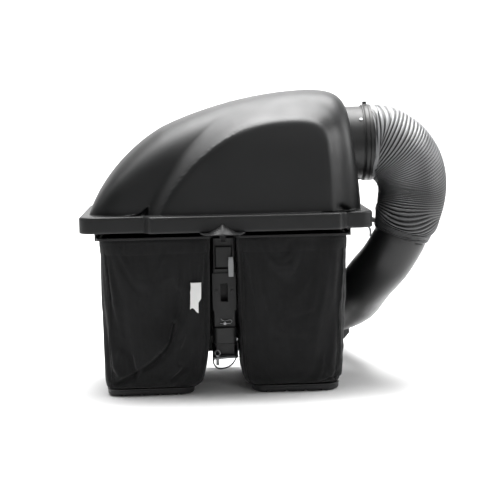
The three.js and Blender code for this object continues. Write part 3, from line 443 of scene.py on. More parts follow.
def waves(grid, rng, count, depth):
    """A sum of faint sine waves in random directions round and down the cloth, pushed in from the walls."""
    u, v = arc(grid, 1) / 100, grid[..., 2] / 100
    push = np.zeros(u.shape)
    for _ in range(count):
        ku, kv, phase = rng.uniform(0.3, 1.6), rng.uniform(0.8, 3.2), rng.uniform(0, 6.3)
        push += np.sin(ku * u + rng.choice([-1, 1]) * kv * v + phase) / count
    middle = grid.mean(axis=(0, 1))[:2]
    out = grid[..., :2] - middle
    out /= np.linalg.norm(out, axis=-1, keepdims=True)
    hold = ease((grid[..., 2] - 40) / 60) * ease((529 - grid[..., 2]) / 40)
    grid[..., :2] -= (depth * (0.5 + push) * hold)[..., None] * out


FRAMES, PINNED, FURTHEST = 14, 0.012, 0.014


def hang(piece):
    """Cloth simulation pinned at the top and bottom rows: gravity and a little pressure over some frames.
    Each point's move is capped, and the moved points are put back into the mesh."""
    mesh = piece.data
    z = np.empty(len(mesh.vertices) * 3, np.float32)
    mesh.vertices.foreach_get("co", z)
    z = z.reshape(-1, 3)[:, 2]
    pin = piece.vertex_groups.new(name="pin")
    held = np.flatnonzero((z > z.max() - PINNED) | (z < z.min() + PINNED))
    pin.add(held.tolist(), 1.0, "REPLACE")
    cloth = piece.modifiers.new("cloth", "CLOTH")
    settings = cloth.settings
    settings.quality = 6
    settings.mass = 0.4
    settings.tension_stiffness = 25
    settings.compression_stiffness = 12
    settings.shear_stiffness = 8
    settings.bending_stiffness = 1.5
    settings.shrink_min = -0.02
    settings.vertex_group_mass = "pin"
    settings.use_pressure = True
    settings.uniform_pressure_force = 0.15
    cloth.collision_settings.use_collision = False
    scene = bpy.context.scene
    for number in range(1, FRAMES + 1):
        scene.frame_set(number)
    settled = piece.evaluated_get(bpy.context.evaluated_depsgraph_get())
    after = np.empty(len(mesh.vertices) * 3, np.float32)
    settled.data.vertices.foreach_get("co", after)
    before = np.empty_like(after)
    mesh.vertices.foreach_get("co", before)
    move = (after - before).reshape(-1, 3)
    size = np.linalg.norm(move, axis=1, keepdims=True)
    move *= np.minimum(1, FURTHEST / np.maximum(size, 1e-9))
    piece.modifiers.remove(cloth)
    mesh.vertices.foreach_set("co", (before.reshape(-1, 3) + move).ravel())
    mesh.update()
    scene.frame_set(1)
    print(piece.name, "settled, largest move mm", round(float(size.max()) * 1000, 1))


# %% Left and right bags
left = bag_grid(-1)
waves(left, random, 9, 7)
dent(left, (-180, 320), 34, (62, 95))
dent(left, (-215, 235), 16, (60, 60))
crease(left, (-150, 395), (-163, 251), 10, 16)
crease(left, (-163, 262), (-186, 176), 22, 9)
crease(left, (-180, 190), (-226, 140), 26, 9)
crease(left, (-210, 156), (-285, 98), 26, 9)
crease(left, (-265, 114), (-392, 48), 22, 10)
crease(left, (-150, 262), (-150, 170), -9, 17)
crease(left, (-345, 178), (-392, 96), -12, 17)
crease(left, (-322, 176), (-300, 60), 8, 9)
crease(left, (-395, 356), (-345, 330), 8, 12)
crease(left, (-136, 108), (-196, 62), 11, 7)
crease(left, (-170, 128), (-120, 96), 8, 6)
crease(left, (-250, 70), (-160, 58), -7, 9)
crease(left, (-112, 170), (-104, 72), 7, 7)
for z, depth in ((512, 5), (492, 4), (470, 5), (448, 4), (428, 3)):
    wander = 9 * np.sin(z)
    crease(left, (-398, z + wander), (-150, z - wander / 2), depth, 5)
right = bag_grid(1)
waves(right, random, 9, 6)
for z, depth, start, end in ((520, 6, 80, 370), (503, 4, 70, 260), (486, 4, 150, 365), (466, 5, 110, 330),
                             (449, 4, 170, 350), (432, 6, 70, 300), (415, 3, 140, 330)):
    wander = 8 * np.sin(z)
    crease(right, (start, z + wander), (end, z - wander / 2), depth, 5)
crease(right, (120, 296), (205, 316), 5, 8)
crease(right, (215, 262), (330, 290), 4, 10)
crease(right, (140, 205), (320, 188), 4, 12)
dent(right, (240, 210), 12, (120, 120))
crease(right, (100, 90), (300, 62), 5, 18)
crease(right, (330, 150), (352, 60), 6, 8)
side_bulge = ease((right[..., 0] - 330) / 60) * np.sin(np.pi * np.clip(right[..., 2] / 529, 0, 1))
right[..., 0] += side_bulge * (9 + 3 * np.sin(right[..., 2] / 9) * np.sin(right[..., 2] / 31))

bags = {}
for side, grid in (("left", left), ("right", right)):
    cloth_shell = grid_mesh(f"{side}_bag", row(grid))
    hang(cloth_shell)
    subdivide = cloth_shell.modifiers.new("smooth", "SUBSURF")
    subdivide.levels = subdivide.render_levels = 1
    thick = cloth_shell.modifiers.new("thick", "SOLIDIFY")
    thick.thickness = 0.0014
    thick.offset = -1
    bags[side] = swap(cloth_shell, f"{side}_bag", "bag_fabric", f"{side}_bag_fabric")


# %% [markdown]
# The hose is a ribbed vinyl duct. Its wall is swept along a path with a rib every few millimetres: broad
# glossy ridges with narrow gaps that carry painted shade. It is pulled out at the collar and squeezed
# together near its foot.

# %% Hose
END = np.array([620, 192, 515.0])
DOWN = np.array([-0.3, 0.16, -0.94])
DOWN /= np.linalg.norm(DOWN)
start = np.array([COLLAR["end"] + 0.3, COLLAR["y"], COLLAR["z"]])
hose_path = evenly(through([start, start + (14, 0, 0), (570, 247, 826), (613, 234, 798), (647, 221, 752),
                            (661, 208, 700), (658, 196, 640), END - 70 * DOWN, END - 35 * DOWN,
                            END], 24), 860)
t = np.linspace(0, 1, len(hose_path))
base = np.interp(t, [0, 0.05, 0.3, 0.7, 0.86, 0.93, 1], [131, 129, 124, 114, 110, 100, 96])
HOSE_COLS = 96
twist = np.linspace(0, 1, HOSE_COLS, endpoint=False)
# the ribs lean: they lie further along on the rear side and on the inside of the bend
lean = (0.045 * (1 + np.sin(np.pi * t))[:, None] * -np.cos(2 * np.pi * twist)
        + 0.06 * np.sin(np.pi * t)[:, None] ** 2 * -np.sin(2 * np.pi * twist))
along = t[:, None] - lean
phase = np.pi * (56 * (0.57 * along + 0.43 * along * np.abs(along)) + twist)
ridge = 1 - np.abs(np.cos(phase)) ** 5
hold = (ease(t / 0.02) * ease((1 - t) / 0.015))[:, None]
radius = base[:, None] + hold * (7 * ridge - 4.5)
hose_outer = sweep(hose_path, radius, HOSE_COLS, start=(1, 0, 0), end=DOWN)
hose_inner = sweep(hose_path, base - 6.5, HOSE_COLS, start=(1, 0, 0), end=DOWN)[::-1]
hose_inner = np.concatenate([hose_inner[:-1:8], hose_inner[-1:]])
hose = grid_mesh("suction_hose_ribbed", row(np.concatenate([hose_outer, hose_inner])), loop=True)
# painted shade: the base colour is darkened in the gaps between the ribs, at both ends and on the inside,
# and the gaps take more of the surface towards the lower part of the hose
lower_shade = (1 - 0.5 * ease((t - 0.4) / 0.35))[:, None]
rib_shade_mask = hose.data.attributes.new("rib", "FLOAT", "POINT")
rib_shade_mask.data.foreach_set("value", np.concatenate([(ridge * hold * lower_shade).ravel(),
                                                   np.zeros(hose_inner[..., 0].size)]).astype(np.float32))
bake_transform(hose)
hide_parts("suction_hose")

# %% [markdown]
# The chute is a smooth bent tube of dark polyethylene. It starts inside the hose's foot, turns forward past
# the right bag and ends in the boot on the mower's deck.

# %% Chute tube
chute_path = evenly(through([END - 40 * DOWN, END, END + 20 * DOWN, (573, 226, 420), (527, 310, 345),
                             (508, 400, 292), (494, 480, 250), (462, 600, 207), (430, 720, 178),
                             (410, 800, 165)], 20), 130)
chute_outer = sweep(chute_path, 91.2, 80, start=DOWN)
chute_inner = sweep(chute_path, 87.5, 80, start=DOWN)
chute = grid_mesh("chute", row(np.concatenate([chute_outer, chute_inner[::-1]])), loop=True)
swap(chute, "frame", "tray_plastic", "chute_tube")


# %% [markdown]
# Rings, sleeves and clamps on the hose are turned profiles: a small outline walked round an axis. The
# outline is given as radius and distance along the axis, with its edges rounded.

# %% Turned rings


def softened(profile, radius):
    """A closed outline with each corner replaced by a short arc of points (a quadratic curve)."""
    p = np.asarray(profile, float)
    before, after = np.roll(p, 1, 0), np.roll(p, -1, 0)
    t = np.linspace(0, 1, 4)[:, None]
    out = []
    for a, b, c in zip(before, p, after):
        start = b + (a - b) / np.linalg.norm(a - b) * min(radius, np.linalg.norm(a - b) / 2.2)
        end = b + (c - b) / np.linalg.norm(c - b) * min(radius, np.linalg.norm(c - b) / 2.2)
        out.append((1 - t) ** 2 * start + 2 * t * (1 - t) * b + t ** 2 * end)
    return np.vstack(out)


def turned(name, profile, base, direction, soft=0.8):
    """A closed outline of (radius, along) turned about a direction through a base point."""
    d = np.asarray(direction, float)
    d = d / np.linalg.norm(d)
    up = np.array([0.0, 0, 1]) if abs(d[2]) < 0.9 else np.array([0.0, 1, 0])
    up = up - d * (up @ d)
    up = up / np.linalg.norm(up)
    side = np.cross(d, up)
    angle = np.linspace(0, 2 * np.pi, HOSE_COLS, endpoint=False)
    r, h = softened(profile, soft).T
    spoke = np.cos(angle)[None, :, None] * up + np.sin(angle)[None, :, None] * side
    points = np.asarray(base, float) + h[:, None, None] * d + r[:, None, None] * spoke
    return grid_mesh(name, row(points), loop=True)


ACROSS = (1, 0, 0)
AT_COLLAR = (0, COLLAR["y"], COLLAR["z"])
collar = swap(turned("collar", [(122, 400), (126, 400), (126, 421), (129, 424), (129, 430), (126, 433),
                                (126, 515), (122, 515)], AT_COLLAR, ACROSS),
              "hood", "black_plastic", "inlet_collar")
cuff = swap(turned("cuff", [(126.3, 491), (130.3, 491), (130.3, 494), (132, 495), (132, 496), (130.3, 497),
                            (130.3, 511), (132.6, 512), (132.6, 521), (126.3, 521)],
                   AT_COLLAR, ACROSS), "hood", "black_plastic", "hose_cuff")
upper_clamp = swap(turned("upper_clamp", [(130.6, 497.6), (132.6, 497.6), (132.6, 499), (132.2, 499.6),
                                          (132.2, 508.4), (132.6, 509), (132.6, 510.4), (130.6, 510.4)],
                          AT_COLLAR, ACROSS, soft=0.3), "hood", "black_steel", "upper_hose_clamp")
lower_clamp = swap(turned("lower_clamp", [(98.5, 0), (100.5, 0), (100.5, 1.6), (100.1, 2.2), (100.1, 11.8),
                                          (100.5, 12.4), (100.5, 14), (98.5, 14)],
                          END - 26 * DOWN, DOWN, soft=0.3), "frame", "black_steel", "lower_hose_clamp")

# %% [markdown]
# The trays under the bags are moulded: a shallow foot with a rolled rim and a few drain notches.

# %% Trays
# height, how far the wall stands in from the rim: inner side, outer side, front and rear; the corner radius
TRAY = [(6, 60, 50, 40, 36), (1, 56, 46, 35.5, 39), (0, 54, 44, 33, 40), (0.8, 50, 40, 29, 44),
        (4, 44, 34, 24, 48), (7, 41.6, 31.6, 21.6, 50), (14, 41, 31, 21, 50), (20, 40.6, 30.6, 20.6, 50),
        (21.2, 39.2, 29.2, 19.2, 51), (24, 39, 29, 19, 51), (25, 40, 30, 20, 50), (25, 46, 36, 26, 44)]
for side, sign in (("left", -1), ("right", 1)):
    rows = []
    out, more = (-19, 21) if sign < 0 else (0, 0)
    for z, inner, outer, rear, r in TRAY:
        x0, x1 = BAG["inner"] + inner + more, BAG["inner"] + BAG["width"] - outer - out
        if sign < 0:
            x0, x1 = -x1, -x0
        y0, y1 = BAG["rear"] + rear, BAG["front"] - rear
        rows.append(level(rounded_rectangle(x0, x1, y0, y1, r, 60, 60, 12), z))
    grid = np.stack(rows)
    notch = np.abs((grid[..., 0] - grid[..., 0].mean()) % 62 - 31) < 5
    grid[..., 2] += np.where(notch & (grid[..., 2] < 5), 3.0, 0)
    tray = grid_mesh(f"{side}_tray", row(grid), caps=True)
    swap(tray, f"{side}_bag", "tray_plastic", f"{side}_bag_tray")

# %% [markdown]
# The bag's hem is a folded band of cloth sewn over the rim's edge, and each rear corner of the bag carries a
# corded seam. They follow the settled cloth: points are read back from the shell's own grid.

# %% Piping and hem


def cord_along(name, path, radius, count, cols=10):
    """A round cord along points in row metres, closed at both ends."""
    return grid_mesh(name, sweep(evenly(path, count), radius, cols), caps=True)


for side, sign in (("left", -1), ("right", 1)):
    shell = bags[side]
    co = np.empty(len(shell.data.vertices) * 3, np.float32)
    shell.data.vertices.foreach_get("co", co)
    grid = co.reshape(78, -1, 3).astype(float)
    middle = grid.mean(axis=1, keepdims=True)
    nx, ny, nc = BAG_AROUND
    around = 2 * (nx + ny) + 4 * nc
    corners = {"rear_left": ny + nc + nx + nc + ny + nc // 2, "rear_right": around - nc // 2}
    for where, column in corners.items():
        line = grid[1:77, column] + 0.0006 * (grid[1:77, column] - middle[1:77, 0]) / 0.2
        piping = cord_along(f"{side}_{where}_piping", line, 0.0019, count=150)
        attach(piping, f"{side}_bag")
    top = grid[[70, 71, 73, 75, 76, 77]]
    out = top - middle[[70, 71, 73, 75, 76, 77]]
    out[..., 2] = 0
    out /= np.linalg.norm(out, axis=-1, keepdims=True)
    lift = np.array([0.0002, 0.0022, 0.0026, 0.0026, 0.0024, 0.0008])[:, None, None]
    hem = grid_mesh(f"{side}_hem", top + lift * out)
    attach(hem, f"{side}_bag")

# %% [markdown]
# The blank label is a thin torn sheet, curled a little off the cloth.

# %% Label
u, v = np.meshgrid(np.linspace(0, 1, 14), np.linspace(0, 1, 26))
left_edge = -117 + 3 * v + 4 * np.sin(9 * v) * ease((v - 0.55) / 0.2) * (1 - v) * 2
right_edge = -78 - 2 * (1 - v) - 9 * ease((0.42 - v) / 0.2)
x = left_edge + (right_edge - left_edge) * u
z = 295 + 90 * v + 6 * np.sin(5 * u) * (v < 0.06) - 7 * ease((0.12 - v) / 0.12) * u
y = 13.0 - 0.5 * np.sin(np.pi * u) - 0.3 * np.sin(4 * np.pi * v)
label = grid_mesh("label", row(np.stack([x, y, z], -1)), wrap=False)
thin = label.modifiers.new("thin", "SOLIDIFY")
thin.thickness = 0.0003
swap(label, "left_bag", "label_sheet", "bag_label")

# %% [markdown]
# Bent wire and cord: the hairpin clip, the hanger hook under the hose and the lanyard of the hitch pin.

# %% Wires and the lanyard
BENDS = ((-16, 0), (10, 0), (20, 1), (24, 6), (18, 11), (8, 9), (0, 7.6), (-8, 10), (-14, 15))
hairpin = through([(x, 102, 230 + 1.1 * z) for x, z in BENDS], 12)
swap(cord_along("hairpin", row(hairpin), 0.0011, count=110), "hairpin_clip", "zinc_steel", "hairpin_clip")
hanger = through([(459, 190, 548), (480, 190, 545), (503, 190, 543), (512, 190, 534), (514, 191, 520),
                  (513, 192, 508)], 12)
swap(cord_along("hanger", row(hanger), 0.0035, cols=14, count=70), "frame", "zinc_steel", "chute_hanger")
LANYARD = [(40, 91.8, 169.6), (42, 84, 150), (36, 72, 118), (18, 62, 94), (-6, 57, 84), (-28, 55, 85),
           (-41, 54, 100), (-43.5, 60, 122), (-43, 82, 131)]
lanyard_path = evenly(row(through(LANYARD, 12)), 90)
lanyard = grid_mesh("lanyard_loop", sweep(lanyard_path, 0.0024, 12), caps=True)
swap(lanyard, "frame", "lanyard_cord", "lanyard")

# %% [markdown]
# The hood's grip is a small awning: its roof runs down from a chevron on the skirt to a nearly straight
# lip, which turns up at both ends.

# %% Grip
u, v = np.meshgrid(np.linspace(-1, 1, 61), np.linspace(0, 1, 14))
root = 553 + 26 * np.clip(1 - np.abs(u) / 0.62, 0, 1) + 3 * np.exp(-(u / 0.08) ** 2)
lip = 550 + 5 * ease((np.abs(u) - 0.8) / 0.2)
x = -4 + 74 * u
y = -39.5 - 35 * v ** 0.85 * (1 - 0.55 * ease((np.abs(u) - 0.7) / 0.3))
z = root + (lip - root) * v ** 1.15
fold = np.stack([x, y, z], -1)
grip = grid_mesh("grip", row(fold), wrap=False)
roof = grip.modifiers.new("roof", "SOLIDIFY")
roof.thickness = 0.004
roof.offset = 0
rounding = grip.modifiers.new("rounding", "BEVEL")
rounding.width = 0.0012
rounding.segments = 2
swap(grip, "hood", "hood_plastic", "hood_grip")

# %% [markdown]
# Plates, tubes and levers keep the CAD's shape but get small rounded edges that catch the light. Each is a
# copy of its node with its points merged, its flat faces joined up again, and a bevel.

# %% Rounded edges for hard parts


def rounded_copy(node, slot, width):
    """Copies a CAD node, merges its points, joins flat faces and bevels edges sharper than 35 degrees."""
    source = bpy.data.objects[node]
    mesh = source.data.copy()
    mesh.transform(source.matrix_world)
    mesh.materials.clear()
    piece = link(mesh, f"{node}_rounded")
    form = bmesh.new()
    form.from_mesh(mesh)
    bmesh.ops.remove_doubles(form, verts=form.verts, dist=1e-5)
    bmesh.ops.dissolve_limit(form, angle_limit=math.radians(2), verts=form.verts, edges=form.edges)
    form.to_mesh(mesh)
    form.free()
    bevel = piece.modifiers.new("edges", "BEVEL")
    bevel.width = width / 1000
    bevel.segments = 2
    bevel.limit_method = "ANGLE"
    bevel.angle_limit = math.radians(35)
    bevel.harden_normals = True
    mesh.shade_smooth()
    mesh.set_sharp_from_angle(angle=math.radians(45))
    body = next(name for name, nodes in frame["record"]["behaviour"]["bodies"].items() if node in nodes)
    return swap(piece, body, slot, node)


slot_of = {part["node"]: part["material_slot"] for part in frame["record"]["subparts"]}
# painted shade: the inner post gets the black steel finish in place of its zinc, which keeps the window of
# the latch housing dark; the height bolts get it too, which makes them darker than zinc
slot_of.update(dict.fromkeys(("inner_post", "height_bolt_left", "height_bolt_right"), "black_steel"))
ROUNDED = {"post_coupler": 3.5, "deck_adapter": 2.0, "latch_panel": 1.5, "support_post": 1.2,
           "latch_housing": 1.2, "height_plate": 0.8, "lock_lever": 0.9, "hitch_plate": 1.0,
           "mount_plate": 1.4, "gusset_left": 0.8, "gusset_right": 0.8, "rear_crossbar": 1.8,
           "front_crossbar": 1.8, "left_side_tube": 1.8, "right_side_tube": 1.8, "centre_beam": 1.8,
           "left_bag_rim": 1.2, "right_bag_rim": 1.2, "latch_bracket": 0.5, "latch_lever": 0.6,
           "latch_strike": 0.6, "hinge_bracket_left": 0.9, "hinge_bracket_right": 0.9,
           "hinge_strap_left": 0.5, "hinge_strap_right": 0.5, "upper_clamp_screw": 0.5,
           "lower_clamp_screw": 1.0, "inner_post": 1.0, "height_bolt_left": 0.6,
           "height_bolt_right": 0.6}
refined = {node: rounded_copy(node, slot_of[node], width) for node, width in ROUNDED.items()}

# %% [markdown]
# Finishes. Each is a Principled surface whose colour, roughness and height come from shared node groups:
# fine moulding grain, thin scratches, settled dust and a plain weave. Groups hand out numbers and colours
# only; the surface itself stays in the material.

# %% Node helpers


def group(name, inputs, outputs):
    """A new shader group with its sockets; inputs are (name, kind, default)."""
    tree = bpy.data.node_groups.new(name, "ShaderNodeTree")
    for label_, kind, default in inputs:
        socket = tree.interface.new_socket(label_, in_out="INPUT", socket_type=f"NodeSocket{kind}")
        if default is not None:
            socket.default_value = default
    for label_, kind in outputs:
        tree.interface.new_socket(label_, in_out="OUTPUT", socket_type=f"NodeSocket{kind}")
    return tree, tree.nodes.new("NodeGroupInput"), tree.nodes.new("NodeGroupOutput")


def wire(tree, *pairs):
    """Links sockets two by two."""
    for a, b in zip(pairs[::2], pairs[1::2]):
        tree.links.new(a, b)


def maths(tree, operation, a, b=0.5, c=None):
    """One maths node; a and b are sockets or numbers."""
    made = tree.nodes.new("ShaderNodeMath")
    made.operation = operation
    for k, value in enumerate((a, b, c)):
        if value is None:
            continue
        if hasattr(value, "links"):
            tree.links.new(value, made.inputs[k])
        else:
            made.inputs[k].default_value = value
    return made.outputs[0]


def ramp(tree, value, low, high, out_low=0.0, out_high=1.0):
    """Maps one range of a value to another, clamped."""
    made = tree.nodes.new("ShaderNodeMapRange")
    for socket, number in zip(("From Min", "From Max", "To Min", "To Max"), (low, high, out_low, out_high)):
        made.inputs[socket].default_value = number
    tree.links.new(value, made.inputs["Value"])
    return made.outputs["Result"]


def noise(tree, where, scale, detail, rough=0.55):
    """A noise texture read at a position."""
    made = tree.nodes.new("ShaderNodeTexNoise")
    made.inputs["Scale"].default_value = scale
    made.inputs["Detail"].default_value = detail
    made.inputs["Roughness"].default_value = rough
    tree.links.new(where, made.inputs["Vector"])
    return made.outputs["Fac"]


# %% Shared effects: grain, scratches, dust and weave
grain, grain_in, grain_out = group("moulding_grain",
                                   [("Where", "Vector", None), ("Size", "Float", 900.0)],
                                   [("Height", "Float"), ("Cloud", "Float")])
cells = grain.nodes.new("ShaderNodeTexVoronoi")
wire(grain, grain_in.outputs["Where"], cells.inputs["Vector"],
     grain_in.outputs["Size"], cells.inputs["Scale"])
wire(grain, cells.outputs["Distance"], grain_out.inputs["Height"],
     noise(grain, grain_in.outputs["Where"], 9, 4), grain_out.inputs["Cloud"])

scratch, marks_in, marks_out = group("fine_scratches", [("Where", "Vector", None)], [("Mask", "Float")])
stretch = scratch.nodes.new("ShaderNodeMapping")
stretch.inputs["Rotation"].default_value = (0.3, 0.5, 0.9)
stretch.inputs["Scale"].default_value = (420, 420, 11)
wire(scratch, marks_in.outputs["Where"], stretch.inputs["Vector"])
thin_lines = ramp(scratch, noise(scratch, stretch.outputs["Vector"], 1, 2), 0.66, 0.72)
patches = ramp(scratch, noise(scratch, marks_in.outputs["Where"], 14, 2), 0.45, 0.6)
wire(scratch, maths(scratch, "MULTIPLY", thin_lines, patches), marks_out.inputs["Mask"])

dust, dust_in, dust_out = group("settled_dust",
                                [("Where", "Vector", None), ("Up", "Float", 0.0), ("Amount", "Float", 0.3)],
                                [("Mask", "Float")])
speckle = ramp(dust, noise(dust, dust_in.outputs["Where"], 160, 5, 0.7), 0.5, 0.75)
cloud = ramp(dust, noise(dust, dust_in.outputs["Where"], 7, 4), 0.35, 0.7)
facing = ramp(dust, dust_in.outputs["Up"], 0.1, 1.0)
both = maths(dust, "MULTIPLY", maths(dust, "ADD", maths(dust, "MULTIPLY", speckle, 0.5), 0.5), cloud)
wire(dust, maths(dust, "MULTIPLY", maths(dust, "MULTIPLY", both, facing), dust_in.outputs["Amount"]),
     dust_out.inputs["Mask"])

weave, weave_in, weave_out = group("plain_weave",
                                   [("UV", "Vector", None), ("Threads per metre", "Float", 900.0)],
                                   [("Height", "Float"), ("Thread", "Float")])
split = weave.nodes.new("ShaderNodeSeparateXYZ")
wire(weave, weave_in.outputs["UV"], split.inputs["Vector"])
turns = maths(weave, "MULTIPLY", weave_in.outputs["Threads per metre"], math.pi)
warp = maths(weave, "SINE", maths(weave, "MULTIPLY", split.outputs["X"], turns))
weft = maths(weave, "SINE", maths(weave, "MULTIPLY", split.outputs["Y"], turns))
crossing = maths(weave, "MULTIPLY", warp, weft)
wire(weave, maths(weave, "MULTIPLY_ADD", crossing, 0.5, 0.5), weave_out.inputs["Height"],
     maths(weave, "ABSOLUTE", warp), weave_out.inputs["Thread"])


def shared(tree, source, **links):
    """Places a shared group and links its inputs by name."""
    made = tree.nodes.new("ShaderNodeGroup")
    made.node_tree = source
    for key, value in links.items():
        socket = made.inputs[key.replace("_", " ")]
        if hasattr(value, "links"):
            tree.links.new(value, socket)
        else:
            socket.default_value = value
    return made.outputs


def mixed(tree, first=None, second=None, kind="MIX"):
    """A colour mix node, with its plain colours where they are given."""
    made = tree.nodes.new("ShaderNodeMix")
    made.data_type = "RGBA"
    made.blend_type = kind
    for socket, colour in zip(made.inputs[6:8], (first, second)):
        if colour is not None:
            socket.default_value = (*colour, 1)
    return made


def raise_surface(tree, shade, height, distance, strength):
    """Turns a height into the surface's normal through a bump node."""
    bump = tree.nodes.new("ShaderNodeBump")
    bump.inputs["Distance"].default_value = distance
    bump.inputs["Strength"].default_value = strength
    wire(tree, height, bump.inputs["Height"], bump.outputs["Normal"], shade.inputs["Normal"])


DUST_COLOUR = (0.2, 0.19, 0.175)
SCRATCHED = 0.15


def surface(name, colour, rough, grain_size, grain_depth, metal=0.0, mottle=0.15, dust_amount=0.25,
            coat=0.0, specular=0.5):
    """A moulded or painted finish: mottled colour, dust on what faces up, scratches that dull the gloss."""
    made = bpy.data.materials.new(name)
    made.use_nodes = True
    tree = made.node_tree
    shade = tree.nodes["Principled BSDF"]
    where = tree.nodes.new("ShaderNodeTexCoord").outputs["Object"]
    grains = shared(tree, grain, Where=where, Size=grain_size)
    marks = shared(tree, scratch, Where=where)["Mask"]
    geometry = tree.nodes.new("ShaderNodeNewGeometry")
    upright = tree.nodes.new("ShaderNodeSeparateXYZ")
    wire(tree, geometry.outputs["Normal"], upright.inputs["Vector"])
    dusty = shared(tree, dust, Where=where, Up=upright.outputs["Z"], Amount=dust_amount)["Mask"]
    tone = mixed(tree, [c * (1 - mottle) for c in colour], [c * (1 + mottle) for c in colour])
    powder = mixed(tree, second=DUST_COLOUR)
    wire(tree, grains["Cloud"], tone.inputs[0], tone.outputs[2], powder.inputs[6], dusty, powder.inputs[0],
         powder.outputs[2], shade.inputs["Base Color"])
    gloss = maths(tree, "ADD", ramp(tree, grains["Cloud"], 0.3, 0.7, rough - 0.04, rough + 0.05),
                  maths(tree, "MULTIPLY", marks, SCRATCHED))
    wire(tree, maths(tree, "MULTIPLY_ADD", dusty, 0.6, gloss), shade.inputs["Roughness"])
    raise_surface(tree, shade, grains["Height"], grain_depth, 0.6)
    shade.inputs["Metallic"].default_value = metal
    shade.inputs["Coat Weight"].default_value = coat
    shade.inputs["Specular IOR Level"].default_value = specular
    return made


# %% Finishes
hood_paint = surface("hood_plastic", (0.0075, 0.0078, 0.0082), 0.46, 1400, 0.00008,
                     dust_amount=0.05, specular=0.42)
black_paint = surface("black_plastic", (0.0065, 0.0067, 0.007), 0.44, 1100, 0.00008)
tray_paint = surface("tray_plastic", (0.012, 0.0123, 0.013), 0.42, 800, 0.0001)
chute_paint = surface("chute_plastic", (0.0055, 0.0056, 0.006), 0.4, 700, 0.00012,
                      dust_amount=0.08)
steel_paint = surface("black_steel", (0.005, 0.005, 0.0054), 0.4, 1600, 0.00005, metal=0.1)
grey_paint = surface("grey_steel", (0.2, 0.205, 0.21), 0.45, 1500, 0.00005, metal=0.3, mottle=0.1)
zinc_paint = surface("zinc_steel", (0.3, 0.305, 0.31), 0.36, 600, 0.00003, metal=0.9, mottle=0.22,
                     dust_amount=0.1)
cord_paint = surface("lanyard_cord", (0.012, 0.012, 0.012), 0.5, 2500, 0.0001)
label_paint = surface("label_sheet", (0.8, 0.8, 0.79), 0.7, 2600, 0.00005, mottle=0.04)


def fabric(name, colour):
    """Coarse black cloth: woven threads in bump and colour, with a patchy, streaked tone."""
    made = bpy.data.materials.new(name)
    made.use_nodes = True
    tree = made.node_tree
    shade = tree.nodes["Principled BSDF"]
    uv = tree.nodes.new("ShaderNodeUVMap")
    uv.uv_map = "cloth"
    where = tree.nodes.new("ShaderNodeTexCoord").outputs["Object"]
    threads = shared(tree, weave, UV=uv.outputs["UV"], Threads_per_metre=700.0)
    worn = noise(tree, where, 11, 6, 0.65)
    streak = tree.nodes.new("ShaderNodeMapping")
    streak.inputs["Scale"].default_value = (60, 60, 9)
    wire(tree, where, streak.inputs["Vector"])
    rubbed = noise(tree, streak.outputs["Vector"], 1, 4, 0.6)
    mix = maths(tree, "MULTIPLY_ADD", ramp(tree, worn, 0.35, 0.7), 0.6,
                ramp(tree, rubbed, 0.4, 0.75, 0, 0.4))
    tone = mixed(tree, [c * 0.72 for c in colour], [c * 1.75 for c in colour])
    wire(tree, mix, tone.inputs[0])
    thread_tone = mixed(tree, kind="MULTIPLY")
    thread_tone.inputs[0].default_value = 0.45
    wire(tree, tone.outputs[2], thread_tone.inputs[6])
    wire(tree, threads["Thread"], thread_tone.inputs[7], thread_tone.outputs[2], shade.inputs["Base Color"])
    crumple = noise(tree, where, 46, 4, 0.6)
    height = maths(tree, "MULTIPLY_ADD", crumple, 7.0, threads["Height"])
    raise_surface(tree, shade, height, 0.0005, 0.8)
    shade.inputs["Roughness"].default_value = 0.82
    shade.inputs["Sheen Weight"].default_value = 0.1
    shade.inputs["Sheen Roughness"].default_value = 0.5
    shade.inputs["Specular IOR Level"].default_value = 0.28
    return made


bag_cloth = fabric("bag_fabric", (0.0062, 0.0064, 0.0068))

hose_paint = surface("hose_plastic", (0.2, 0.203, 0.208), 0.36, 900, 0.00004,
                     dust_amount=0.15, coat=0.1)
tree = hose_paint.node_tree
shade = tree.nodes["Principled BSDF"]
colour_in = shade.inputs["Base Color"].links[0].from_socket
# painted shade: where the rib mask is low (gaps between ribs, the hose's ends and inside, more of its lower
# part) the colour is mixed towards near black
rib = tree.nodes.new("ShaderNodeAttribute")
rib.attribute_name = "rib"
gap_shade = mixed(tree, first=(0.006, 0.006, 0.0065))
wire(tree, ramp(tree, rib.outputs["Fac"], 0.25, 0.85), gap_shade.inputs[0], colour_in, gap_shade.inputs[7],
     gap_shade.outputs[2], shade.inputs["Base Color"])

# %% Assign finishes
PAINTS = {"hood_plastic": hood_paint, "black_plastic": black_paint, "tray_plastic": tray_paint,
          "black_steel": steel_paint, "grey_steel": grey_paint, "zinc_steel": zinc_paint,
          "lanyard_cord": cord_paint, "label_sheet": label_paint, "bag_fabric": bag_cloth,
          "hose_plastic": hose_paint}


def paint(piece, material):
    """Gives an object one material, on the object's own slot when it already has slots."""
    if not piece.data.materials:
        piece.data.materials.append(material)
        return
    for slot_ in piece.material_slots:
        slot_.link = "OBJECT"
        slot_.material = material


for name, slot_name in slot_of.items():
    paint(bpy.data.objects[name], PAINTS[slot_name])
for name, piece in refined.items():
    paint(piece, PAINTS[slot_of[name]])
for piece, material in ((hood, hood_paint), (grip, hood_paint), (hose, hose_paint), (chute, chute_paint),
                        (collar, black_paint), (cuff, black_paint), (upper_clamp, steel_paint),
                        (lower_clamp, steel_paint), (label, label_paint), (lanyard, cord_paint)):
    paint(piece, material)
for name in ("hairpin", "hanger"):
    paint(bpy.data.objects[name], zinc_paint)
for side in ("left", "right"):
    paint(bags[side], bag_cloth)
    paint(bpy.data.objects[f"{side}_tray"], tray_paint)
    for extra in ("hem", "rear_left_piping", "rear_right_piping"):
        paint(bpy.data.objects[f"{side}_{extra}"], bag_cloth)



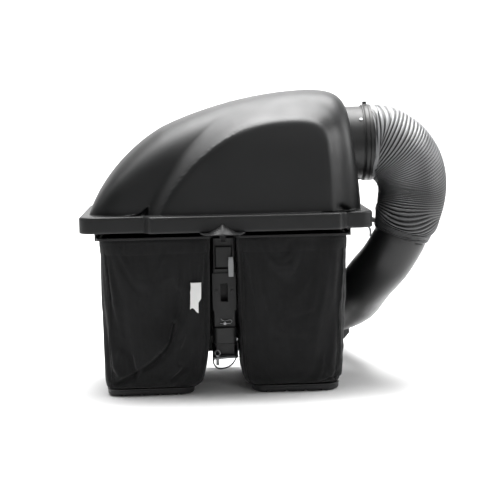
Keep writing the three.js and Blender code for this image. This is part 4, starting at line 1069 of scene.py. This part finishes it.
# %% [markdown]
# A pale sweep stands in for the floor and the background. The light is soft and mostly from above and from
# the sides, so that the upright faces stay dark and the rounded edges carry the highlights.

# %% Floor
floor_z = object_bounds()[0][2] - 0.0005
turn = np.linspace(0, np.pi / 2, 24)
bend = np.column_stack([3.2 + 1.8 * np.sin(turn), floor_z + 1.8 * (1 - np.cos(turn))])
profile = np.vstack([[-9, floor_z], bend, [5.0, 9]])
sweep_x = np.linspace(-14, 14, 2)
floor_grid = np.stack([np.column_stack([np.full(len(profile), x), profile]) for x in sweep_x], 1)
floor = grid_mesh("floor", floor_grid, wrap=False)
floor_paint = bpy.data.materials.new("floor_paint")
floor_paint.use_nodes = True
floor_shade = floor_paint.node_tree.nodes["Principled BSDF"]
floor_shade.inputs["Base Color"].default_value = (0.88, 0.88, 0.88, 1)
floor_shade.inputs["Roughness"].default_value = 0.8
floor_shade.inputs["Specular IOR Level"].default_value = 0.1
floor.data.materials.append(floor_paint)

# %% Light


def lamp(name, at, aim, size, power):
    """A soft square light at one drawing place, pointed at another."""
    data = bpy.data.lights.new(name, "AREA")
    data.energy = power
    data.size = size
    piece = bpy.data.objects.new(name, data)
    bpy.context.collection.objects.link(piece)
    at, aim = Vector(row(at)), Vector(row(aim))
    piece.matrix_world = Matrix.Translation(at) @ (aim - at).to_track_quat("-Z", "Y").to_matrix().to_4x4()


lamp("overhead", (150, 800, 3200), (0, 300, 600), 2.6, 165)
lamp("left", (-3000, 500, 2000), (0, 300, 700), 1.6, 8)
lamp("right", (3000, 200, 1700), (300, 300, 600), 1.2, 42)
lamp("behind", (1400, -4200, 2600), (200, 0, 500), 1.6, 24)
lamp("wall", (0, 1500, 4200), (0, 4600, 600), 4.0, 420)
world = bpy.data.worlds.new("studio")
world.use_nodes = True
world.node_tree.nodes["Background"].inputs["Color"].default_value = (1, 1, 1, 1)
world.node_tree.nodes["Background"].inputs["Strength"].default_value = 0.16
bpy.context.scene.world = world
bpy.context.scene.view_settings.view_transform = "Standard"
